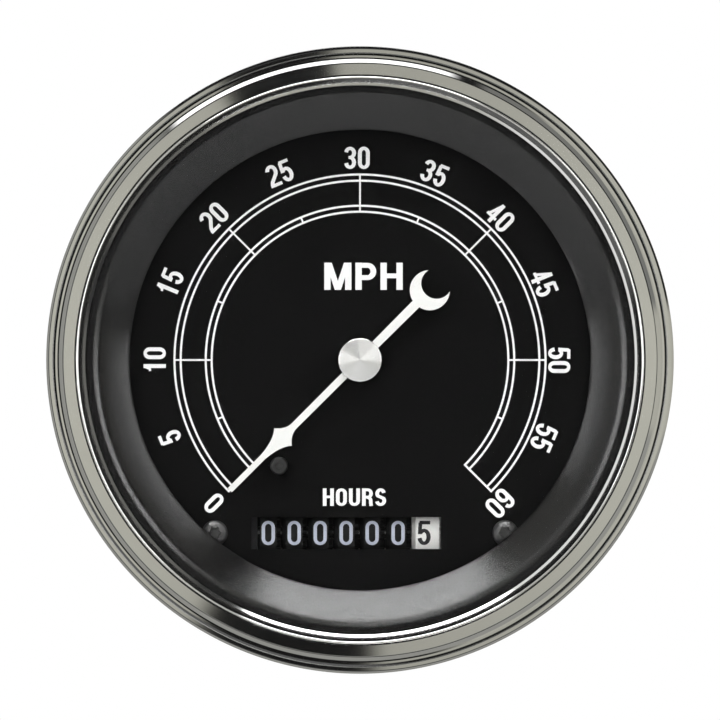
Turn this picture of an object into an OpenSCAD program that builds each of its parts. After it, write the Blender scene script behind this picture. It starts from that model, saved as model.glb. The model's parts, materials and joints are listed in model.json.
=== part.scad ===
// Round panel speedometer with a drum hour counter, millimetres.
// Everything is drawn with x to the reader's right, y up the dial and z towards the reader,
// with z = 0 on the panel face, then stood up by upright() so that the dial faces -Y.

/* [Case] */
// Diameter of the barrel that goes through the panel
barrel_d = 84.5; // [78:0.5:92]
// Depth from the panel face to the back of the case
case_depth = 48; // [46:0.5:60]
// Sheet thickness of the case
case_wall = 0.8; // [0.6:0.1:1.2]
// Rounding of the rear edge
back_round = 4; // [2:0.5:5]

/* [Bezel] */
// How far the bezel stands out past the barrel
bezel_overhang = 5.25; // [4.8:0.05:7]
// Skin of the bezel outside the case flange
bezel_skin = 0.7; // [0.5:0.05:0.9]
// Thickness of the hem behind the flange
hem_t = 0.6; // [0.4:0.1:1]
// Width of the hem that bears on the panel
hem_w = 2.9; // [2:0.1:3.6]
// Width of the outer bead
outer_bead_w = 1; // [0.8:0.05:1.2]
// Width of the middle bead
middle_bead_w = 1.35; // [1:0.05:1.6]
// Rise of the middle bead over the outer bead
middle_bead_h = 1.3; // [0.9:0.1:1.8]
// Rise of the crown over the lens
crown_h = 1.9; // [1.5:0.1:3]
// Width from the crown's outer edge to the sight opening
lip_w = 3.65; // [3:0.05:4.5]

/* [Lens and trim ring] */
// Lens thickness
lens_t = 2; // [1.5:0.1:3]
// Lens seal thickness
seal_t = 0.5; // [0.3:0.1:1]
// Trim ring sheet thickness
ring_t = 0.6; // [0.4:0.1:0.9]
// Width of the trim ring's sloping face
ring_w = 5.6; // [4:0.1:7]
// Rounding at the top of the slope
ring_roll = 1.6; // [0.8:0.1:2.4]
// Gap between the ring's lower edge and the dial
ring_gap = 2.1; // [1.8:0.1:2.8]

/* [Dial] */
// Dial face behind the panel face
dial_drop = 3; // [2.5:0.1:4]
// Dial plate thickness
dial_t = 1; // [0.6:0.1:1.5]
// Width of the counter window
window_w = 28.8; // [27:0.1:30]
// Height of the counter window
window_h = 4.86; // [4:0.1:7]
// Window centre, sideways
window_x = -2.1; // [-2.6:0.1:-1.6]
// Distance of the stop peg from the centre
stop_r = 20.2; // [18.5:0.1:21.5]
// Angle of the stop peg below zero
stop_deg = 7.6; // [7:0.1:9]
// Stop peg diameter
stop_d = 2.7; // [2:0.1:2.9]
// Dial screw head diameter
dial_head_d = 3.5; // [3:0.1:3.8]
// Dial screw head height
dial_head_h = 1.2; // [0.8:0.1:1.4]
// Dial screw thread diameter
dial_thread_d = 2; // [1.6:0.1:2.4]

/* [Pointer] */
// Distance of the tip from the centre
pointer_r = 27.9; // [25:0.1:32]
// Blade thickness
pointer_t = 0.5; // [0.4:0.05:0.8]
// Thickness of the balancing tail
tail_t = 0.98; // [0.8:0.02:1.3]
// Gap between dial and blade
pointer_gap = 2.2; // [1.8:0.1:2.6]
// Width of the blade at the hub
blade_w = 1.12; // [0.9:0.02:1.4]
// Width of the blade at the tip
tip_w = 0.9; // [0.6:0.02:1]
// Distance of the spade's barbs from the centre
spade_r = 16.5; // [15:0.1:19]
// Width over the barbs
spade_w = 3.8; // [3:0.1:4.4]
// Distance of the crescent from the centre
crescent_r = 14.96; // [12:0.1:17]
// Outside diameter of the crescent
crescent_d = 6.08; // [5:0.1:7]
// Hub cap diameter
cap_d = 6.6; // [5:0.1:9]
// Hub cap height
cap_h = 1.4; // [1:0.1:1.8]

/* [Movement] */
// Spindle diameter
spindle_d = 1; // [0.8:0.1:1.2]
// Bobbin diameter
bobbin_d = 17; // [15:0.5:18]
// Bobbin height
bobbin_h = 12.2; // [11:0.2:13]
// Coil build thickness
coil_t = 1; // [0.7:0.05:1.1]
// Width of one coil band
coil_w = 3.4; // [2.5:0.1:3.8]
// Rotor magnet diameter
rotor_d = 12.4; // [9:0.2:12.8]
// Rotor magnet height
rotor_h = 3.2; // [2.4:0.1:3.6]
// Shield can diameter
can_d = 25.6; // [25:0.2:26]
// Shield can sheet thickness
can_wall = 0.6; // [0.4:0.1:0.8]
// Outside radius of the hairspring
spring_r = 5.5; // [4:0.1:7]

/* [Counter] */
// Number drum diameter
drum_d = 16; // [15:0.1:16.6]
// Spacing of the drums
drum_pitch = 3.94; // [3.8:0.02:4]
// Width of a number drum's rim
rim_w = 2.54; // [2.3:0.02:2.6]
// Width of the tenths drum's rim
tenths_w = 3.6; // [3.2:0.1:3.7]
// Middle of the row of figures, sideways
counter_x = -2.1; // [-2.6:0.1:-1.6]
// Drum axis in from the edge of the visible dial
counter_inset = 8.65; // [8:0.05:9.5]
// Drum shaft diameter
drum_shaft_d = 2; // [1.5:0.1:3]
// Pinion shaft diameter
pinion_shaft_d = 1.2; // [1:0.1:1.6]
// Frame plate thickness
plate_t = 1; // [0.8:0.1:1.2]
// Gear module of the motor's train
train_m = 0.3; // [0.28:0.01:0.31]
// Motor diameter
motor_d = 14; // [10:0.5:15]
// Motor length
motor_l = 9; // [7:0.5:11]

/* [Chassis and board] */
// Chassis plate thickness
chassis_t = 1.5; // [1:0.1:2]
// Gap between chassis and circuit board
board_gap = 11.5; // [10.5:0.5:13]
// Circuit board thickness
board_t = 1.6; // [1:0.1:2]
// Frame screw thread diameter
frame_thread_d = 3; // [2.5:0.1:3.4]
// Frame screw length under the head
frame_screw_l = 6; // [5:0.5:7]
// Pillar width across flats
pillar_af = 5.5; // [5:0.1:6.5]

/* [Board parts] */
// Width of the voltage regulator
regulator_w = 10; // [8:0.5:12]
// Length of the voltage regulator's body
regulator_l = 9; // [7:0.5:11]
// Thickness of the voltage regulator's body
regulator_t = 4.4; // [3:0.1:5]
// Length of the regulator's cooling tab
tab_l = 6; // [5:0.5:7]
// Thickness of the regulator's cooling tab
tab_t = 1.3; // [0.8:0.1:2]
// Capacitor diameter
capacitor_d = 8; // [6:0.5:9]
// Capacitor height
capacitor_h = 8.4; // [6:0.2:9.6]
// Length of a control chip
chip_l = 15; // [12:0.5:17]
// Width of a control chip
chip_w = 7.5; // [6:0.5:9]
// Thickness of a control chip
chip_t = 2.6; // [2:0.1:4]
// Resistor diameter
resistor_d = 2; // [1.4:0.1:2.2]
// Resistor length
resistor_l = 6; // [5:0.5:8]

/* [Rear connections] */
// Spacing of the mounting studs
stud_spacing = 52; // [46:0.5:58]
// Mounting stud diameter at its free end
stud_d = 4.8; // [4:0.1:6]
// Mounting stud diameter through the case and its nut
stud_base_d = 6; // [5:0.1:7]
// Length of the mounting studs behind the case
stud_l = 20; // [15:0.5:30]
// Terminal stud diameter at its free end
terminal_d = 4; // [3:0.1:4.8]
// Terminal stud diameter through the case and its nut
terminal_base_d = 5; // [4:0.1:6]
// Terminal spacing
terminal_pitch = 11; // [10.5:0.1:12]
// Length of the terminal studs behind the case
terminal_l = 14; // [12:0.5:18]
// Lamp socket flange diameter
lamp_flange_d = 15; // [13:0.5:17]
// Lamp bulb diameter
bulb_d = 5; // [4:0.1:6]

/* [Hidden] */
$fn = 72;
fine = 180;
eps = 0.01;

// Running and seating clearances
run_gap = 0.05;
side_gap = 0.1;

// Radii set out from the barrel
case_r = barrel_d / 2;
case_in_r = case_r - case_wall;
bezel_r = case_r + bezel_overhang;
flange_pocket_r = bezel_r - bezel_skin;
flange_r = flange_pocket_r - side_gap;
hem_r = bezel_r - hem_w;
middle_r = bezel_r - outer_bead_w;
crown_r = middle_r - middle_bead_w;
lens_pocket_r = crown_r - bezel_skin;
lens_r = lens_pocket_r - 2 * side_gap;
sight_r = crown_r - lip_w;
ring_face_r = case_in_r - 0.95;
dial_sight_r = ring_face_r - ring_w;
dial_r = case_in_r - 0.85;
chassis_r = case_in_r - 3.5;
board_r = case_in_r - 5;
column_r = board_r - 3.5;
column_degs = [90, 205, 335];
lamp_r = case_r - 15.5;
lamp_degs = [45, 135];
terminal_y = -(case_r - 18.25);

// Levels in front of the panel
flange_front = hem_t + case_wall;
ring_front = flange_front + ring_t;
seal_front = ring_front + seal_t;
lens_front = seal_front + lens_t;
outer_groove = ring_front + bezel_skin;
outer_top = outer_groove + outer_bead_w / 2;
middle_top = outer_top + middle_bead_h;
crown_top = lens_front + crown_h;
crown_fall = 0.25;
edge_r = 0.25;

// Dial levels
dial_face = -dial_drop;
dial_back = dial_face - dial_t;
ring_lip = dial_face + ring_gap;
blade_z = dial_face + pointer_gap;
cap_z = blade_z + pointer_t;

// Dial fixings
zero_deg = 225;
dial_screw_r = dial_sight_r - 0.65;
dial_screw_degs = [230, 310];
dial_screw_l = 5;
rest_pillar_y = 24;
dial_pillar_r = 2.2;
spigot_r = 1.4;

// Counter geometry, axes as [y, z]
drums = 7;
drum_r = drum_d / 2;
drum_shaft_r = drum_shaft_d / 2;
pinion_shaft_r = pinion_shaft_d / 2;
counter_y = -(dial_sight_r - counter_inset);
drum_axis = [counter_y, dial_back - 0.35 - drum_r];
ring_teeth = 20;
pinion_teeth = 8;
pinion_reach = drum_r + pinion_shaft_r + 0.5;
carry_m = 2 * pinion_reach / (ring_teeth + pinion_teeth);
carry_add = 0.7;
carry_ded = 0.95;
carry_play = 0.14;
pinion_tip_r = carry_m * (pinion_teeth / 2 + carry_add);
pinion_deg = 233;
pinion_axis = drum_axis + polar(pinion_reach, pinion_deg);
ring_wide = 0.6;
carry_wide = 0.6;
carry_r = pinion_reach - pinion_tip_r - 0.45;
nub_r = 0.5;
pressure = 25;
train_add = 0.9;
train_ded = 1.2;
train_play = 0.07;
drum_gear_teeth = 44;
idler_pinion_teeth = 12;
idler_wheel_teeth = 40;
motor_pinion_teeth = 12;
gear_wide = 0.8;
idler_deg = -37;
idler_axis = drum_axis + polar(train_m * (drum_gear_teeth + idler_pinion_teeth) / 2, idler_deg);
motor_deg = 18;
motor_axis = idler_axis + polar(train_m * (idler_wheel_teeth + motor_pinion_teeth) / 2, motor_deg);
idler_shaft_r = 0.8;
motor_shaft_r = 0.5;
motor_wall = 0.8;
rotor_end_gap = 0.8;

// Counter frame, sideways and in section
tenths_right = drum_x(0) - rim_w / 2 + tenths_w;
drum_gear_right = tenths_right + gear_wide;
right_plate = drum_gear_right + 0.35;
left_plate = drum_x(drums - 1) - rim_w / 2 - 0.4 - plate_t;
wheel_left = right_plate + plate_t + 0.3;
bridge_left = wheel_left + gear_wide + 0.5;
motor_left = bridge_left + plate_t;
plate_front = dial_back - 1.5;
floor_gap = 1.3;
chassis_front = min(pinion_axis[1] - pinion_tip_r, drum_axis[1] - drum_r - 2.4) - floor_gap - plate_t;
chassis_back = chassis_front - chassis_t;
frame_low = counter_y - drum_r - 1.6;
frame_high = counter_y + drum_r + 1;
right_high = motor_axis[0] + motor_d / 2 - 0.4;
counter_screw_y = counter_y + 5.2;
counter_screw_dx = 9;
bridge_posts = [
    [idler_axis[0] - 6, plate_front - 3.2],
    [right_high - 1.6, plate_front - 3.2],
    [right_high - 1.6, chassis_front + 2],
    [idler_axis[0] - 6.5, chassis_front + 1.6]
];
post_r = 1;

// Movement levels, built up from the chassis
layer_gap = 0.1;
bobbin_r = bobbin_d / 2;
spindle_r = spindle_d / 2;
can_r = can_d / 2;
coil_in = 1.2;
outer_coil_z = chassis_front + can_wall + layer_gap;
inner_coil_z = outer_coil_z + coil_t + layer_gap;
bobbin_z = inner_coil_z + coil_t + layer_gap;
bobbin_top = bobbin_z + bobbin_h;
inner_coil_top = bobbin_top + layer_gap + coil_t;
outer_coil_top = inner_coil_top + layer_gap + coil_t;
can_top = outer_coil_top + 0.3;
inner_coil_half = bobbin_r + layer_gap;
outer_coil_half = inner_coil_half + coil_t + layer_gap;
split_z = bobbin_z + bobbin_h / 2;
cavity_r = rotor_d / 2 + 0.5;
cavity_half = rotor_h / 2 + 0.4;
jewel_r = 1.4;
jewel_h = 2;
jewel_top = split_z - cavity_half;
bush_r = 1.1;
bush_top = can_top + 0.3;
spring_z = can_top + 1.2;
spring_h = 0.5;
spring_strip = 0.15;
spring_turns = 4;
collet_r = 1.2;
anchor_pin_r = 0.4;
anchor_t = 0.6;
pin_r = 0.4;
pin_at = 5.4;

// Board and rear
board_front = chassis_back - board_gap;
board_back = board_front - board_t;
case_floor = case_wall - case_depth;
case_back = -case_depth;
frame_thread_r = frame_thread_d / 2;
frame_head_r = frame_thread_r + 1.25;
frame_head_h = 2;
stud_grip = 2;
case_screw_l = case_wall + board_back - case_floor - stud_grip - 0.5;
stud_r = stud_d / 2;
stud_base_r = stud_base_d / 2;
stud_head_w = 1.8;
stud_head_h = 1.2;
washer_t = 1;
nut_t = 3.2;
base_proud = 0.6;
stud_nut_af = stud_base_d + 4;
stud_washer_r = stud_nut_af / 2 + 1;
stud_step_z = case_back - washer_t - nut_t - base_proud;
terminal_r = terminal_d / 2;
terminal_base_r = terminal_base_d / 2;
terminals = 4;
block_t = 3;
block_h = 13;
terminal_boss_r = terminal_base_r + 0.9;
terminal_head_w = 0.6;
terminal_nut_af = terminal_base_d + 2.8;
terminal_washer_r = terminal_nut_af / 2 + 0.9;
terminal_nut_top = case_back - block_t;
terminal_step_z = terminal_nut_top - washer_t - nut_t - base_proud;
socket_r = lamp_flange_d / 2 - 1.9;
socket_in = 8;
socket_flange_t = 1.5;
socket_knob_h = 4;
bulb_r = bulb_d / 2;
bulb_seat = 5;
bulb_l = 13;
socket_slot_w = 1.6;
socket_slot_h = 2;

// Parts on the board, each kept clear of the columns and the movement's pins
part_gap = 0.9;
tab_hole_r = 1.8;
sleeve_t = 0.15;
sleeve_h = 1.2;
leg_w = 0.5;
leg_l = 1;
leg_h = 1.2;
leg_out = 0.8;
chip_lift = 0.5;
chip_legs = 8;
lead_r = 0.3;
lead_out = 1.2;
resistors_in_row = 4;
resistor_pitch = resistor_d + 0.4;
resistor_lift = resistor_d / 2 + 0.2;
regulator_x = column_r - pillar_af - part_gap - regulator_w / 2;
regulator_y = -regulator_l / 3;
capacitor_x = part_gap - regulator_x;
capacitor_y = -0.75 * capacitor_d;
capacitor_pitch = capacitor_d + 2.4 * part_gap;
chip_y = pin_at + pin_r + part_gap + leg_out + chip_w / 2;
resistor_y = column_r - pillar_af / 2 - part_gap - resistor_d / 2;

function polar(r, deg) = r * [cos(deg), sin(deg)];

function arc(centre, r, from, to, steps = 8) =
    [for (i = [0:steps]) centre + polar(r, from + (to - from) * i / steps)];

// Curve from a to b that starts and ends along the lines to c
function bend(a, c, b, steps = 8) =
    [for (i = [0:steps]) let (t = i / steps) (1 - t) * (1 - t) * a + 2 * t * (1 - t) * c + t * t * b];

// Middle of the figures on drum i, counted from the tenths drum at the right
function drum_x(i) = counter_x + ((drums - 1) / 2 - i) * drum_pitch;

function inv_deg(deg) = tan(deg) * 180 / PI - deg;

// Half the angle that a tooth fills at radius r
function flank(r, base_r, half) = half + inv_deg(pressure) - inv_deg(acos(min(1, base_r / r)));

function tooth(teeth, m, add, ded, play, steps = 3) =
    let (
        pitch_r = m * teeth / 2,
        base_r = pitch_r * cos(pressure),
        root_r = pitch_r - ded * m,
        tip_r = pitch_r + add * m,
        start_r = max(base_r, root_r),
        half = 90 / teeth - play / (2 * pitch_r) * 180 / PI,
        rise = [for (i = [0:steps]) start_r + (tip_r - start_r) * i / steps],
        foot = root_r - m / 4
    )
    concat(
        [polar(foot, -flank(start_r, base_r, half))],
        [for (r = rise) polar(r, -flank(r, base_r, half))],
        [for (i = [steps:-1:0]) polar(rise[i], flank(rise[i], base_r, half))],
        [polar(foot, flank(start_r, base_r, half))]
    );

// Stands the gauge up with the dial facing -Y
module upright() rotate([90, 0, 0]) children();

// Puts a shape drawn on [y, z] at the given axis, extruded towards +x from x
module along_x(x, axis = [0, 0]) translate([x, axis[0], axis[1]]) rotate([90, 0, 90]) children();

module at_each(points) for (p = points) translate([p[0], p[1], 0]) children();

// Solid of revolution about the gauge axis from a section drawn on [r, z]
module lathe(section) rotate_extrude($fn = fine) polygon(section);

// A straight rod along z between two levels
module rod(r, low, high) translate([0, 0, low]) cylinder(r = r, h = high - low);

// Gear outline with tooth 0 at the given angle; every is 2 to leave out alternate teeth
module gear(teeth, m, add, ded, play, deg, every = 1) {
    circle(r = m * teeth / 2 - ded * m);
    for (i = [0:every:teeth - 1])
        rotate(deg + i * 360 / teeth) polygon(tooth(teeth, m, add, ded, play));
}

module train_gear(teeth, deg) gear(teeth, train_m, train_add, train_ded, train_play, deg);

module carry_gear(teeth, deg, every = 1) gear(teeth, carry_m, carry_add, carry_ded, carry_play, deg, every);

// Pan head screw with its head towards +z and the underside of the head at z = 0
module pan_screw(head_r, head_h, thread_r, length) {
    difference() {
        rotate_extrude()
            polygon(concat(
                [[0, 0], [head_r, 0]],
                arc([head_r - head_h / 2, head_h / 2], head_h / 2, 0, 90),
                [[0, head_h]]
            ));
        translate([0, 0, head_h / 2])
            linear_extrude(head_h)
                for (turn = [0, 90])
                    rotate(turn) square([head_r * 1.1, head_r * 0.28], center = true);
    }
    rod(thread_r, -length, eps);
}

function columns() = [for (deg = column_degs) polar(column_r, deg)];
function lamps() = [for (deg = lamp_degs) polar(lamp_r, deg)];
function dial_screw_points() = [for (deg = dial_screw_degs) polar(dial_screw_r, deg)];
function stud_points() = [[-stud_spacing / 2, 0], [stud_spacing / 2, 0]];
function terminal_points() =
    [for (i = [0:terminals - 1]) [(i - (terminals - 1) / 2) * terminal_pitch, terminal_y]];
function counter_screw_points() =
    [for (side = [-1, 1]) [counter_x + side * counter_screw_dx, counter_screw_y]];
function pin_points() = [for (sx = [-1, 1], sy = [-1, 1]) [sx * pin_at, sy * pin_at]];

module case_shell() color("dimgray") upright() difference() {
    lathe(concat(
        [[0, case_back]],
        arc([case_r - back_round, case_back + back_round], back_round, -90, 0),
        [[case_r, hem_t], [flange_r, hem_t], [flange_r, flange_front], [case_in_r, flange_front]],
        arc([case_r - back_round, case_back + back_round], back_round - case_wall, 0, -90),
        [[0, case_floor]]
    ));
    at_each(stud_points()) rod(stud_base_r + run_gap, case_back - 1, case_floor + 1);
    at_each(columns()) rod(frame_thread_r + run_gap, case_back - 1, case_floor + 1);
    at_each(lamps()) rod(socket_r + run_gap, case_back - 1, case_floor + 1);
    at_each(terminal_points()) rod(terminal_boss_r + run_gap, case_back - 1, case_floor + 1);
}

module bezel() color("silver") upright() lathe(concat(
    [[hem_r, 0], [bezel_r - edge_r, 0]],
    arc([bezel_r - edge_r, edge_r], edge_r, -90, 0, 4),
    arc([bezel_r - outer_bead_w / 2, outer_groove], outer_bead_w / 2, 0, 180, 12),
    arc([middle_r - middle_bead_w / 2, middle_top - middle_bead_w / 2], middle_bead_w / 2, 0, 180, 12),
    arc([crown_r - edge_r, crown_top - crown_fall - edge_r], edge_r, 0, 80, 5),
    [[crown_r - lip_w / 2, crown_top]],
    arc([crown_r - lip_w / 2 - edge_r, crown_top - 2 * edge_r], edge_r, 60, 135, 5),
    [[sight_r + 2 * edge_r, lens_front + 3 * edge_r]],
    arc([sight_r + edge_r, lens_front + 2 * edge_r], edge_r, 120, 180, 4),
    [[sight_r, lens_front], [lens_pocket_r, lens_front], [lens_pocket_r, ring_front]],
    [[flange_pocket_r, ring_front], [flange_pocket_r, hem_t], [hem_r, hem_t]]
));

module lens() color("aliceblue", 0.3) upright() rod(lens_r, seal_front, lens_front, $fn = fine);

module lens_seal() color("black") upright() difference() {
    rod(lens_r, ring_front, seal_front, $fn = fine);
    rod(case_in_r + side_gap, ring_front - 1, seal_front + 1, $fn = fine);
}

// Sloping ring between lens and dial, with a flange clamped under the lens seal
module trim_ring() color("black") upright() {
    slope = atan2(ring_front - ring_lip, ring_w);
    drop = ring_t / cos(slope);
    tangent = ring_roll * tan(slope / 2);
    lathe(concat(
        [[flange_r, flange_front], [flange_r, ring_front]],
        arc([ring_face_r + tangent, ring_front - ring_roll], ring_roll, 90, 90 + slope),
        [[dial_sight_r, ring_lip], [dial_sight_r, ring_lip - drop]],
        [[ring_face_r - (ring_t - drop) / tan(slope), flange_front]]
    ));
}

module dial_plate() color("black") upright() translate([0, 0, dial_back]) linear_extrude(dial_t)
    difference() {
        circle(r = dial_r, $fn = fine);
        circle(r = spindle_r + 0.9);
        translate([window_x, counter_y]) square([window_w, window_h], center = true);
        at_each(dial_screw_points()) circle(d = dial_thread_d + 2 * run_gap);
        translate(polar(stop_r, zero_deg + stop_deg)) circle(d = stop_d / 2 + 2 * run_gap);
    }

module dial_screws() color("dimgray") upright() at_each(dial_screw_points())
    translate([0, 0, dial_face]) pan_screw(dial_head_d / 2, dial_head_h, dial_thread_d / 2, dial_screw_l);

// Peg with a wide head in front of the dial and a riveted shank through it
module stop_peg() color("black") upright() at_each([polar(stop_r, zero_deg + stop_deg)]) {
    rod(stop_d / 2, dial_face, blade_z + pointer_t + 0.3);
    rod(stop_d / 4, dial_back - 0.5, dial_face + eps);
}

module dial_pillars() color("gold") upright() {
    at_each(dial_screw_points()) difference() {
        union() {
            rod(dial_pillar_r, chassis_front, dial_back);
            rod(spigot_r, chassis_back, chassis_front + eps);
        }
        rod(dial_thread_d / 2 + run_gap, dial_face - dial_screw_l - 0.5, dial_back + 1);
    }
    at_each([[0, rest_pillar_y]]) {
        rod(dial_pillar_r, chassis_front, dial_back);
        rod(spigot_r, chassis_back, chassis_front + eps);
    }
}

module chassis_plate() color("lightsteelblue") upright() translate([0, 0, chassis_back])
    linear_extrude(chassis_t) difference() {
        circle(r = chassis_r, $fn = fine);
        at_each(columns()) circle(r = frame_thread_r + run_gap);
        at_each(counter_screw_points()) circle(r = frame_thread_r + run_gap);
        at_each(concat(dial_screw_points(), [[0, rest_pillar_y]])) circle(r = spigot_r + run_gap);
        at_each(lamps()) circle(r = socket_r + 1);
        at_each(pin_points()) circle(r = pin_r + 0.6);
    }

// Three screws down through the chassis, two for the counter frame and three up through the case back
module frame_screws() color("silver") upright() {
    at_each(columns()) translate([0, 0, chassis_front])
        pan_screw(frame_head_r, frame_head_h, frame_thread_r, frame_screw_l);
    at_each(counter_screw_points()) translate([0, 0, chassis_front + plate_t])
        pan_screw(frame_head_r, frame_head_h, frame_thread_r, frame_screw_l);
    at_each(columns()) translate([0, 0, case_back]) rotate([180, 0, 0])
        pan_screw(frame_head_r, frame_head_h, frame_thread_r, case_screw_l);
}

module hex(af, low, high) translate([0, 0, low]) cylinder(d = af / cos(30), h = high - low, $fn = 6);

// Hexagon pillars with a tapped front end and a stud through the board
module chassis_pillars() color("gold") upright() at_each(columns()) difference() {
    union() {
        hex(pillar_af, board_front, chassis_back);
        rod(frame_thread_r, board_back - stud_grip, board_front + eps);
    }
    rod(frame_thread_r + run_gap, chassis_front - frame_screw_l - 0.5, chassis_back + 1);
}

module board_standoffs() color("gold") upright() at_each(columns()) difference() {
    hex(pillar_af, case_floor, board_back);
    rod(frame_thread_r + run_gap, case_floor - 1, board_back + 1);
}

module circuit_board() color("darkgreen") upright() translate([0, 0, board_back])
    linear_extrude(board_t) difference() {
        circle(r = board_r, $fn = fine);
        at_each(columns()) circle(r = frame_thread_r + run_gap);
        at_each(lamps()) circle(r = socket_r + 1.2);
    }

// Lying flat on the board with its cooling tab towards the lamp
module voltage_regulator() color("black") upright() translate([regulator_x, regulator_y, board_front]) {
    translate([-regulator_w / 2, -regulator_l / 2, 0]) cube([regulator_w, regulator_l, regulator_t]);
    difference() {
        translate([-regulator_w / 2, regulator_l / 2 - eps, 0]) cube([regulator_w, tab_l, tab_t]);
        at_each([[0, (regulator_l + tab_l) / 2]]) rod(tab_hole_r, -1, tab_t + 1);
    }
}

module filter_capacitors() color("navy") upright()
    at_each([for (i = [0:1]) [capacitor_x, capacitor_y - i * capacitor_pitch]])
        translate([0, 0, board_front]) {
            rod(capacitor_d / 2, 0, capacitor_h);
            rod(capacitor_d / 2 + sleeve_t, 0, sleeve_h);
        }

// Flat package with a row of legs along both sides
module chip() {
    leg_pitch = chip_l / chip_legs;
    leg_y = chip_w / 2 + leg_out - leg_l / 2;
    translate([-chip_l / 2, -chip_w / 2, chip_lift]) cube([chip_l, chip_w, chip_t]);
    for (i = [0:chip_legs - 1], side = [-1, 1])
        translate([(i - (chip_legs - 1) / 2) * leg_pitch, side * leg_y, leg_h / 2])
            cube([leg_w, leg_l, leg_h], center = true);
}

module control_chips() color("black") upright() at_each([[0, -chip_y], [0, chip_y]])
    translate([0, 0, board_front]) chip();

// Four resistors in a row, each with both ends bent down to the board
module resistors() color("tan") upright() for (i = [0:resistors_in_row - 1])
    translate([0, resistor_y - i * resistor_pitch, board_front]) {
        reach = resistor_l / 2 + lead_out;
        translate([-resistor_l / 2, 0, resistor_lift]) rotate([0, 90, 0]) rod(resistor_d / 2, 0, resistor_l);
        translate([-reach, 0, resistor_lift]) rotate([0, 90, 0]) rod(lead_r, 0, 2 * reach);
        at_each([[-reach, 0], [reach, 0]]) rod(lead_r, 0, resistor_lift + lead_r);
    }

module movement_can() color("gainsboro") upright() difference() {
    rod(can_r, chassis_front, can_top);
    rod(can_r - can_wall, chassis_front + can_wall, can_top + 1);
    at_each(pin_points()) rod(pin_r + 0.6, chassis_front - 1, chassis_front + can_wall + 1);
}

module bobbin_rear() color("ivory") upright() difference() {
    rod(bobbin_r, bobbin_z, split_z);
    rod(cavity_r, jewel_top, split_z + 1);
    rod(jewel_r + run_gap, jewel_top - jewel_h, jewel_top + 1);
}

module bobbin_front() color("ivory") upright() difference() {
    rod(bobbin_r, split_z, bobbin_top);
    rod(cavity_r, split_z - 1, split_z + cavity_half);
    rod(bush_r + run_gap, split_z, bobbin_top + 1);
}

// Two rectangular bands wound past the spindle on both sides, running along x
module coil(half, low, high) for (side = [-1, 1])
    translate([0, side * (coil_in + coil_w / 2), 0]) difference() {
        translate([-half - coil_t, -coil_w / 2, low]) cube([2 * (half + coil_t), coil_w, high - low]);
        translate([-half, -coil_w, low + coil_t]) cube([2 * half, 2 * coil_w, high - low - 2 * coil_t]);
    }

module inner_coil() color("chocolate") upright() coil(inner_coil_half, inner_coil_z, inner_coil_top);

module outer_coil() color("sienna") upright() rotate(90)
    coil(outer_coil_half, outer_coil_z, outer_coil_top);

module movement_pins() color("gold") upright() at_each(pin_points()) rod(pin_r, board_front, bobbin_z);

module front_bush() color("gold") upright() difference() {
    rod(bush_r, split_z + cavity_half, bush_top);
    rod(spindle_r + run_gap, split_z, bush_top + 1);
}

module rear_jewel() color("firebrick") upright() difference() {
    rod(jewel_r, jewel_top - jewel_h, jewel_top);
    rod(spindle_r + run_gap, jewel_top - jewel_h + 0.6, jewel_top + 1);
}

// Flat spiral strip from the collet to the anchor pin
module hairspring() color("orange") upright() translate([0, 0, spring_z]) linear_extrude(spring_h) {
    start_r = collet_r + run_gap + spring_strip / 2;
    steps = 24 * spring_turns;
    mid = [for (i = [0:steps]) start_r + (spring_r - start_r) * i / steps];
    polygon(concat(
        [for (i = [0:steps]) polar(mid[i] - spring_strip / 2, i * 15)],
        [for (i = [steps:-1:0]) polar(mid[i] + spring_strip / 2, i * 15)]
    ));
}

// Arm across the can's rim with the pin that holds the spring's outer end
module spring_anchor() color("gold") upright() {
    pin_x = spring_r + spring_strip / 2 + anchor_pin_r;
    translate([pin_x - 1, -1, can_top]) cube([can_r - pin_x + 0.8, 2, anchor_t]);
    at_each([[pin_x, 0]]) rod(anchor_pin_r, can_top, spring_z + spring_h + 0.2);
}

// Two side plates joined by the floor that is screwed to the chassis
module counter_frame() color("darkgray") upright() difference() {
    union() {
        translate([left_plate, frame_low, chassis_front])
            cube([plate_t, frame_high - frame_low, plate_front - chassis_front]);
        translate([right_plate, frame_low, chassis_front])
            cube([plate_t, right_high - frame_low, plate_front - chassis_front]);
        translate([left_plate, frame_low, chassis_front])
            cube([right_plate - left_plate + plate_t, frame_high - frame_low, plate_t]);
    }
    along_x(left_plate - 1, drum_axis) rod(drum_shaft_r + run_gap / 2, 0, right_plate - left_plate + 3);
    along_x(left_plate - 1, pinion_axis) rod(pinion_shaft_r + run_gap / 2, 0, right_plate - left_plate + 3);
    along_x(right_plate - 1, idler_axis) rod(idler_shaft_r + run_gap, 0, plate_t + 2);
    at_each(counter_screw_points())
        rod(frame_thread_r + run_gap, chassis_front - 1, chassis_front + 2 * plate_t);
}

module drum_shaft() color("silver") upright()
    along_x(left_plate, drum_axis) rod(drum_shaft_r, 0, right_plate + plate_t - left_plate);

module pinion_shaft() color("silver") upright()
    along_x(left_plate, pinion_axis) rod(pinion_shaft_r, 0, right_plate + plate_t - left_plate);

// Outer plate of the gear train on four posts, with the motor on its far side
module gear_bridge() color("darkgray") upright() {
    difference() {
        translate([bridge_left, bridge_posts[3][0] - 2, chassis_front + 0.2])
            cube([plate_t, right_high - bridge_posts[3][0] + 2, plate_front - 1.5 - chassis_front]);
        along_x(bridge_left - 1, idler_axis) rod(idler_shaft_r + run_gap, 0, plate_t + 2);
        along_x(bridge_left - 1, motor_axis) rod(motor_shaft_r + 0.4, 0, plate_t + 2);
    }
    for (post = bridge_posts)
        along_x(right_plate + plate_t, post) rod(post_r, 0, bridge_left - right_plate - plate_t + eps);
}

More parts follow.
